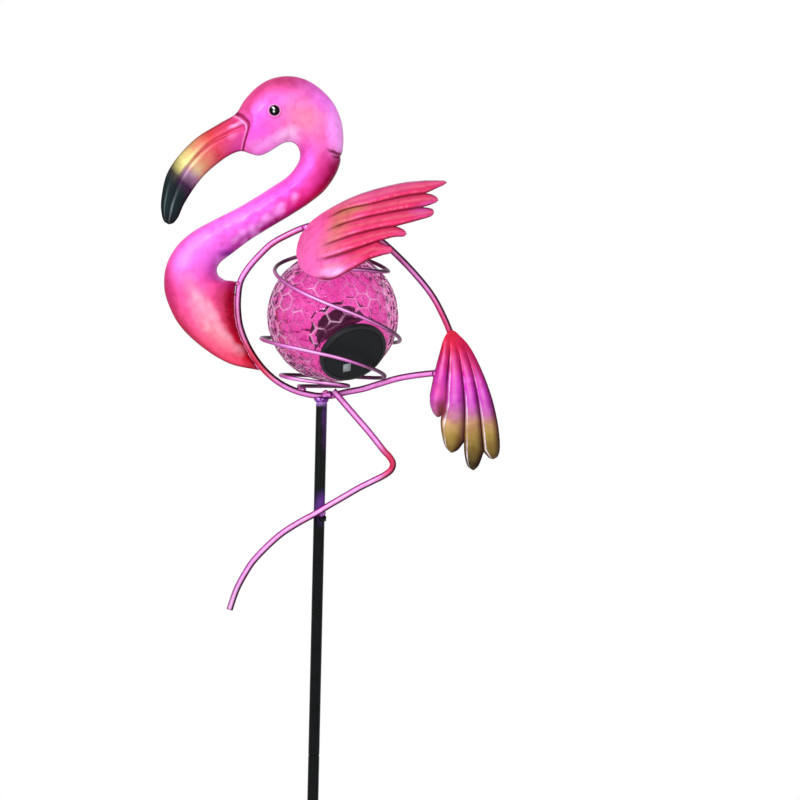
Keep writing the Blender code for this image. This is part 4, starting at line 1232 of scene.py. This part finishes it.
# %% Tail paint
def paint_tail():
    material, tree, shader = new_material("candy_lacquer_and_gold_on_stamped_steel_tail")
    along, fan, coords = read_strip(tree)
    across, to_crease = feather_place(tree, fan)
    # The colours follow each other downward, and their edges waver in waves about 14 mm long
    height = add(tree, "SeparateXYZ", {}, {"Vector": coords}).outputs["Z"]
    level = add(tree, "MapRange", {"From Min": on_bird(0, 22.0).z, "From Max": on_bird(0, -22.0).z},
                {"Value": height}).outputs[0]
    drift = add(tree, "TexNoise", {"Scale": 70.0, "Detail": 3.0}, {"Vector": coords}).outputs["Fac"]
    level = add(tree, "Math", {"operation": "MULTIPLY_ADD", 1: 0.10}, {0: drift, 2: level}).outputs[0]
    colour = ramp(tree, [(0.05, "#D42838"), (0.20, "#D01C50"), (0.33, "#DC2C94"), (0.42, "#E840D0"),
                         (0.56, "#D044C8"), (0.65, "#C86CAC"), (0.72, "#C49C6C"), (0.80, "#A88C44"),
                         (0.90, "#806C30"), (1.0, "#403614")], level)
    outward = add(tree, "MapRange", {"From Min": 0.10, "From Max": 0.34}, {"Value": along}).outputs[0]
    still_pink = add(tree, "MapRange", {"From Min": 0.66, "From Max": 0.52}, {"Value": level}).outputs[0]
    # A painted highlight along each feather's crest, painted shade on each feather's right side and in the
    # creases, and painted glints on the left edges of the later feathers
    pale = times(tree, stripe(tree, across, 0.42, 0.24, 0.4), outward, still_pink)
    colour = lay_over(tree, colour, pale, "#F8A0DC")
    colour = darken(tree, colour, times(tree, stripe(tree, across, 1.0, 0.46, 0.95), outward), "#682048")
    colour = darken(tree, colour, times(tree, stripe(tree, to_crease, 0.0, 0.10, 1.0), outward), "#702048")
    not_first = add(tree, "MapRange", {"From Min": 0.98, "From Max": 1.02}, {"Value": fan}).outputs[0]
    patchy = add(tree, "MapRange", {"From Min": 0.35, "From Max": 0.60}, {"Value": drift}).outputs[0]
    glint = times(tree, stripe(tree, across, 0.15, 0.06, 0.9), outward, not_first, patchy)
    colour = lay_over(tree, colour, glint, "#FFF0FF")
    # The first feather is short, and its tip went brown
    colour = spray(tree, colour, [((36.6, 1.6), (2.2, 4.6), 10, 0.98, 0.6, "#D8488C"),
                                  ((37.2, -3.8), (1.6, 2.6), 10, 0.8, 0.9, "#74302C"),
                                  ((45.5, 14.5), (1.6, 8.0), 26, 0.8, 0.55, "#A80C48")])
    lacquer(tree, shader, colour, dented=0.2)
    return material


tail.data.materials.append(paint_tail())

# %% [markdown]
# ## Wire paint
# The wires are sprayed from the front left and from below, so the side that was turned away got
# little paint and shows dark steel. The wire's own normal tells which side a point is on. A painted
# highlight runs along each wire's middle, and painted shade darkens it toward its sides. Heat from the
# welds and a second pass of the gun leave red stretches near the tail, the knee and the breast.

# %% Paint the wires
SPRAY_AWAY = (0.75, 0.25, 0.6)
LEG_SPRAY_AWAY = (0.80, 0.25, -0.50)


def paint_wire(name, patches, bare_from=-0.15, bare_to=0.25, bare="#100409", behind=None,
               turned_away=SPRAY_AWAY, pale_share=0.38, heated=(), side_shade_share=1.0):
    material, tree, shader = new_material(name)
    coords = add(tree, "TexCoord").outputs
    # The coat is uneven along the wire, in patches about 9 mm long
    drift = add(tree, "TexNoise", {"Scale": 110.0, "Detail": 2.0}, {"Vector": coords["Object"]})
    colour = ramp(tree, [(0.3, "#EC64D0"), (0.7, "#F87CE8")], drift.outputs["Fac"])
    colour = spray(tree, colour, patches)
    # A painted highlight along the middle of the front and back faces, and painted shade toward the sides
    facing = add(tree, "SeparateXYZ", {}, {"Vector": coords["Normal"]}).outputs["Y"]
    facing = add(tree, "Math", {"operation": "ABSOLUTE"}, {0: facing}).outputs[0]
    wire_highlight_band = add(tree, "MapRange", {"interpolation_type": "SMOOTHSTEP", "From Min": 0.86, "From Max": 0.99,
                                   "To Max": 0.9}, {"Value": facing}).outputs[0]
    wire_side_shade = add(tree, "MapRange", {"From Min": 0.94, "From Max": 0.50, "To Max": side_shade_share},
               {"Value": facing}).outputs[0]
    pale = add(tree, "Mix", {"data_type": "RGBA", 0: pale_share, 7: linear("#FFD8FF")},
               {6: colour}).outputs[2]
    colour = darken(tree, colour, wire_side_shade, "#702060")
    colour = lay_over(tree, colour, wire_highlight_band, pale)
    colour = spray(tree, colour, heated)
    away = add(tree, "VectorMath", {"operation": "DOT_PRODUCT", 1: turned_away}, {0: coords["Normal"]})
    mask = add(tree, "MapRange", {"From Min": bare_from, "From Max": bare_to, "To Max": 0.92},
               {"Value": away.outputs["Value"]}).outputs[0]
    colour = lay_over(tree, colour, mask, bare)
    if behind:
        depth = add(tree, "SeparateXYZ", {}, {"Vector": coords["Object"]}).outputs["Y"]
        unseen = add(tree, "MapRange", {"From Min": -0.012, "From Max": 0.012, "To Max": 0.85},
                     {"Value": depth}).outputs[0]
        colour = lay_over(tree, colour, unseen, behind)
    lacquer(tree, shader, colour, roughness=0.34, dented=0.06)
    return material


ring_paint = paint_wire("candy_lacquer_on_steel_wire_ring", (
    ((-26.5, 20.0), (3.0, 9.0), 0, 0.7, 0.7, "#C01860"),
    ((-20.0, 10.0), (7.0, 3.0), -50, 0.6, 0.95, "#DC1434"),
    ((-14.0, 48.5), (7.0, 3.0), 40, 0.8, 0.7, "#E03C84"),
), heated=(
    ((36.6, 22.5), (4.0, 8.0), 25, 0.8, 0.85, "#DC2054"),
    ((-21.0, 11.0), (6.0, 3.0), -50, 0.7, 0.7, "#D81838"),
))
leg_paint = paint_wire("candy_lacquer_on_steel_wire_leg", (
    ((6.0, -3.0), (5.0, 5.0), 0, 0.7, 0.6, "#E050D0"),
    ((-26.5, -65.0), (4.0, 6.0), 0, 0.8, 0.6, "#D8A0D8"),
), bare_from=0.0, bare_to=0.35, turned_away=LEG_SPRAY_AWAY, pale_share=0.55,
    heated=(((22.6, -20.0), (4.0, 6.4), 0, 0.7, 0.9, "#CC1034"),))
coil_paint = paint_wire("candy_lacquer_on_steel_wire_spiral", (
    ((0.0, 20.0), (30.0, 30.0), 0, 0.2, 0.6, "#F8A0EC"),
    ((22.0, 17.0), (4.0, 6.0), 0, 0.8, 0.85, "#9A7C98"),
    ((19.0, 7.5), (5.0, 3.0), -15, 0.8, 0.85, "#A08CA0"),
    ((24.0, 27.0), (3.0, 3.0), 0, 0.8, 0.8, "#8C6C88"),
    ((-2.5, 1.9), (6.0, 0.9), -3, 0.6, 0.9, "#240A1E"),
), bare_from=0.10, bare_to=0.50, behind="#4A3046", pale_share=0.65, side_shade_share=0.6)
weld_paint = paint_wire("candy_lacquer_on_weld_beads", (
    ((0.0, -1.6), (4.0, 1.5), 0, 0.6, 0.85, "#8C4CD0"),
    ((0.6, -36.6), (3.0, 3.0), 0, 0.6, 0.7, "#9050C0"),
    ((-24.0, 20.0), (6.0, 18.0), 0, 0.3, 0.9, "#C0143C"),
), bare_from=0.20, bare_to=0.60, bare="#5C2A80")
ring_wire.data.materials.append(ring_paint)
leg_wire.data.materials.append(leg_paint)
coil_wire.data.materials.append(coil_paint)
bird_welds.data.materials.append(weld_paint)

# %% [markdown]
# ## Glass
# The globe is soda-lime glass, about 1.5 in refractive index, tinted pink by a lacquer on its
# inside. The wall has two real surfaces, so the shader needs no trick to look hollow: light bends
# at the raised lines, and the far wall shows through the near one. Some of the lines are cloudy,
# and fine ripples in the wall break up what is seen through it.

# %% Glass material
def tint_glass():
    material, tree, shader = new_material("pink_lacquered_soda_lime_glass")
    coords = add(tree, "TexCoord").outputs["Object"]
    # The tint drifts in patches about 17 mm wide
    drift = add(tree, "TexNoise", {"Scale": 60.0, "Detail": 2.0}, {"Vector": coords}).outputs["Fac"]
    # The raised lines are cloudy where the blowing was cool, and clear where it was hot
    line = add(tree, "Attribute", {"attribute_name": "line"}).outputs["Fac"]
    line = add(tree, "Math", {"operation": "POWER", 1: 1.8}, {0: line}).outputs[0]
    cloudy = add(tree, "MapRange", {"From Min": 0.44, "From Max": 0.58, "To Min": 0.2, "To Max": 1.0},
                 {"Value": drift}).outputs[0]
    line = times(tree, line, cloudy)
    colour = ramp(tree, [(0.3, "#FC78CC"), (0.7, "#FFA8E4")], drift)
    colour = lay_over(tree, colour, line, "#FFD4F0")
    clear = add(tree, "MapRange", {"To Min": 1.0, "To Max": 0.45}, {"Value": line}).outputs[0]
    # The wall's ripples are about 4 mm long
    ripple = add(tree, "TexNoise", {"Scale": 260.0, "Detail": 2.0}, {"Vector": coords}).outputs["Fac"]
    shape = add(tree, "Bump", {"Strength": 0.35, "Distance": 0.0005}, {"Height": ripple})
    set_up(tree, shader, {"IOR": 1.45, "Specular Tint": linear("#FFA0D8"), "Roughness": 0.02},
           {"Base Color": colour, "Transmission Weight": clear, "Normal": shape.outputs["Normal"]})
    return material


globe.data.materials.append(tint_glass())

# %% [markdown]
# ## Plastic, panel and eyes
# The cap is moulded ABS: matt, slightly grey where its edge catches the light, with the fine spark
# texture that the mould gives it. That texture is really about 0.1 mm wide. It is drawn 0.7 mm wide,
# because a finer one wouldn't show. The panel is dark resin over the cells, with a shallower
# texture than the cap's. The eyes are polished black acrylic.

# %% Plastics
def mould_plastic(name, hex_colour, roughness, grain, depth, specular=0.5, patches=()):
    """A moulded surface. The grain is in specks to a metre, so 1400 makes them 0.7 mm wide."""
    material, tree, shader = new_material(name)
    place = add(tree, "TexCoord").outputs["Object"]
    speck = add(tree, "TexNoise", {"Scale": grain, "Detail": 4.0}, {"Vector": place})
    shade = add(tree, "MapRange", {"To Min": 0.8, "To Max": 1.2}, {"Value": speck.outputs["Fac"]})
    colour = add(tree, "VectorMath", {"operation": "SCALE", 0: linear(hex_colour)[:3]},
                 {"Scale": shade.outputs["Result"]})
    colour = spray(tree, colour.outputs[0], patches)
    shape = add(tree, "Bump", {"Strength": 0.4, "Distance": depth}, {"Height": speck.outputs["Fac"]})
    set_up(tree, shader, {"Roughness": roughness, "Specular IOR Level": specular, "IOR": 1.53},
           {"Base Color": colour, "Normal": shape.outputs["Normal"]})
    return material


cap.data.materials.append(mould_plastic("moulded_abs_cap", "#15191C", 0.5, 1400.0, 0.0001, 0.3))
panel.data.materials.append(mould_plastic("resin_over_solar_cells", "#121619", 0.6, 500.0, 0.00003, 0.2))
film.data.materials.append(mould_plastic("clear_film_scrap", "#98A2A6", 0.3, 300.0, 0.0001))
# Each eye has two white specks, painted highlights that stand for the glints of the lights
EYE_GLINT_HIGHLIGHTS = (
    ((EYE_PLACE[0] - 0.45, EYE_PLACE[1] + 0.25), (0.38, 0.38), 0, 0.5, 1.0, "#FFFFFF"),
    ((EYE_PLACE[0] - 0.5, EYE_PLACE[1] - 0.75), (0.26, 0.22), 0, 0.5, 0.9, "#FFFFFF"),
)
for bead in beads:
    bead.data.materials.append(mould_plastic(bead.name + "_acrylic", "#040203", 0.05, 300.0, 0.000005,
                                             0.12, EYE_GLINT_HIGHLIGHTS))
for rim in rims:
    rim.data.materials.append(mould_plastic(rim.name + "_enamel", "#EC90D4", 0.4, 400.0, 0.00005))

# %% [markdown]
# ## Black stoving enamel
# The rods are dipped or sprayed in black enamel and baked: satin and slightly mottled, with a faint
# orange peel. Purple overspray from the bird drifts down over the pole's top and round the place
# where the leg crosses it.

# %% Enamel
def bake_enamel(name, overspray):
    material, tree, shader = new_material(name)
    place = add(tree, "TexCoord").outputs["Object"]
    # The mottles are about 6 mm across, and the orange peel about 1 mm
    mottle = add(tree, "TexNoise", {"Scale": 160.0, "Detail": 4.0}, {"Vector": place})
    colour = ramp(tree, [(0.3, "#040708"), (0.75, "#0C1113")], mottle.outputs["Fac"])
    colour = spray(tree, colour, overspray)
    peel = add(tree, "TexNoise", {"Scale": 1000.0, "Detail": 2.0}, {"Vector": place})
    shape = add(tree, "Bump", {"Strength": 0.35, "Distance": 0.0002}, {"Height": peel.outputs["Fac"]})
    rough = add(tree, "MapRange", {"To Min": 0.28, "To Max": 0.46}, {"Value": mottle.outputs["Fac"]})
    set_up(tree, shader, {"IOR": 1.5, "Specular IOR Level": 0.12},
           {"Base Color": colour, "Normal": shape.outputs["Normal"],
            "Roughness": rough.outputs["Result"]})
    return material


pole.data.materials.append(bake_enamel("baked_enamel_pole", (
    ((0.0, -1.2), (4.0, 1.6), 0, 0.5, 0.9, "#B47CD8"),
    ((1.8, -8.0), (1.0, 8.0), 0, 0.8, 0.5, "#5A3078"),
    ((0.7, -34.4), (1.6, 3.4), 0, 0.9, 0.85, "#7038A0"),
)))
enamel = bake_enamel("baked_enamel_stake", ())
for piece in (stake, prong, stake_welds, pole_weld):
    piece.data.materials.append(enamel)

# %% [markdown]
# ## Studio
# The photograph is a plain product shot on white, with no hard shadow. The world is white behind
# the object, bright in front of it and grey at its sides. A photographer stands grey flags beside a
# glossy thing for the same reason: its edges then get a dark line. A large soft light stands high on
# the left, a weak one on the right, and a small one above leaves the sharper glints. The floor is a
# pale disc under the stake's foot.

# %% Floor and light
FLOOR_RADIUS = 2.2
FLOOR_DROP = 0.0005


def make_floor():
    bm = bmesh.new()
    bmesh.ops.create_circle(bm, cap_ends=True, segments=128, radius=FLOOR_RADIUS)
    mesh = bpy.data.meshes.new("studio_floor")
    bm.to_mesh(mesh)
    bm.free()
    floor = bpy.data.objects.new("studio_floor", mesh)
    bpy.context.scene.collection.objects.link(floor)
    floor.location.z = -FLOOR_DROP
    material, tree, shader = new_material("pale_studio_paper")
    set_up(tree, shader, {"Base Color": linear("#F0F0F0"), "Roughness": 0.9})
    mesh.materials.append(material)


def light_world():
    world = bpy.data.worlds.new("white_studio")
    bpy.context.scene.world = world
    world.use_nodes = True
    tree = world.node_tree
    way = add(tree, "SeparateXYZ", {}, {"Vector": add(tree, "TexCoord").outputs["Generated"]})
    shade = ramp(tree, [(0.0, "#ECECEC"), (0.25, "#E0E0E0"), (0.42, "#B8B8B8"), (0.66, "#B8B8B8"),
                        (0.85, "#FFFFFF"), (1.0, "#FFFFFF")],
                 add(tree, "MapRange", {"From Min": -1.0}, {"Value": way.outputs["Y"]}).outputs["Result"])
    set_up(tree, tree.nodes["Background"], {"Strength": 1.0}, {"Color": shade})


def add_light(name, location, target, size, power):
    light = bpy.data.lights.new(name, "AREA")
    light.shape = "SQUARE"
    light.size = size
    light.energy = power
    lamp = bpy.data.objects.new(name, light)
    bpy.context.scene.collection.objects.link(lamp)
    lamp.location = location
    lamp.rotation_euler = (Vector(target) - Vector(location)).to_track_quat("-Z", "Y").to_euler()


make_floor()
light_world()
BIRD_MIDDLE = (0.0, 0.0, 0.85)
add_light("soft_key_left", (-0.9, -1.2, 1.7), BIRD_MIDDLE, 1.1, 14.0)
add_light("soft_fill_right", (1.3, -1.0, 1.0), BIRD_MIDDLE, 1.0, 2.0)
add_light("small_key_above", (-0.5, -1.5, 1.6), BIRD_MIDDLE, 0.16, 5.0)

# %% [markdown]
# ## Camera
# The photograph is taken straight on from far away, so the perspective is slight: a 110 mm lens
# does it. The photographed bird leans a little, which is the camera's roll here. The photographed
# stake lies beside the bird. Here it is screwed in, so it runs out of the frame below.

# %% Camera
VIEW_WIDTH = 0.608
LENS = 110.0
SENSOR = 36.0
CAMERA_ROLL = math.radians(1.27)
CAMERA_AIM = (0.0595, 0.7714)
lens = bpy.data.cameras.new("camera")
lens.lens = LENS
lens.sensor_width = SENSOR
lens.clip_start = 0.05
lens.clip_end = 50.0
camera = bpy.data.objects.new("camera", lens)
bpy.context.scene.collection.objects.link(camera)
distance = VIEW_WIDTH * LENS / SENSOR
camera.location = (CAMERA_AIM[0], -distance, CAMERA_AIM[1])
camera.rotation_euler = (math.pi / 2, -CAMERA_ROLL, 0.0)
bpy.context.scene.camera = camera
# The plain sRGB view keeps candy colours and white paper as they are, as a catalogue photo does
bpy.context.scene.view_settings.view_transform = "Standard"
print(f"Camera {distance:.3f} m away")
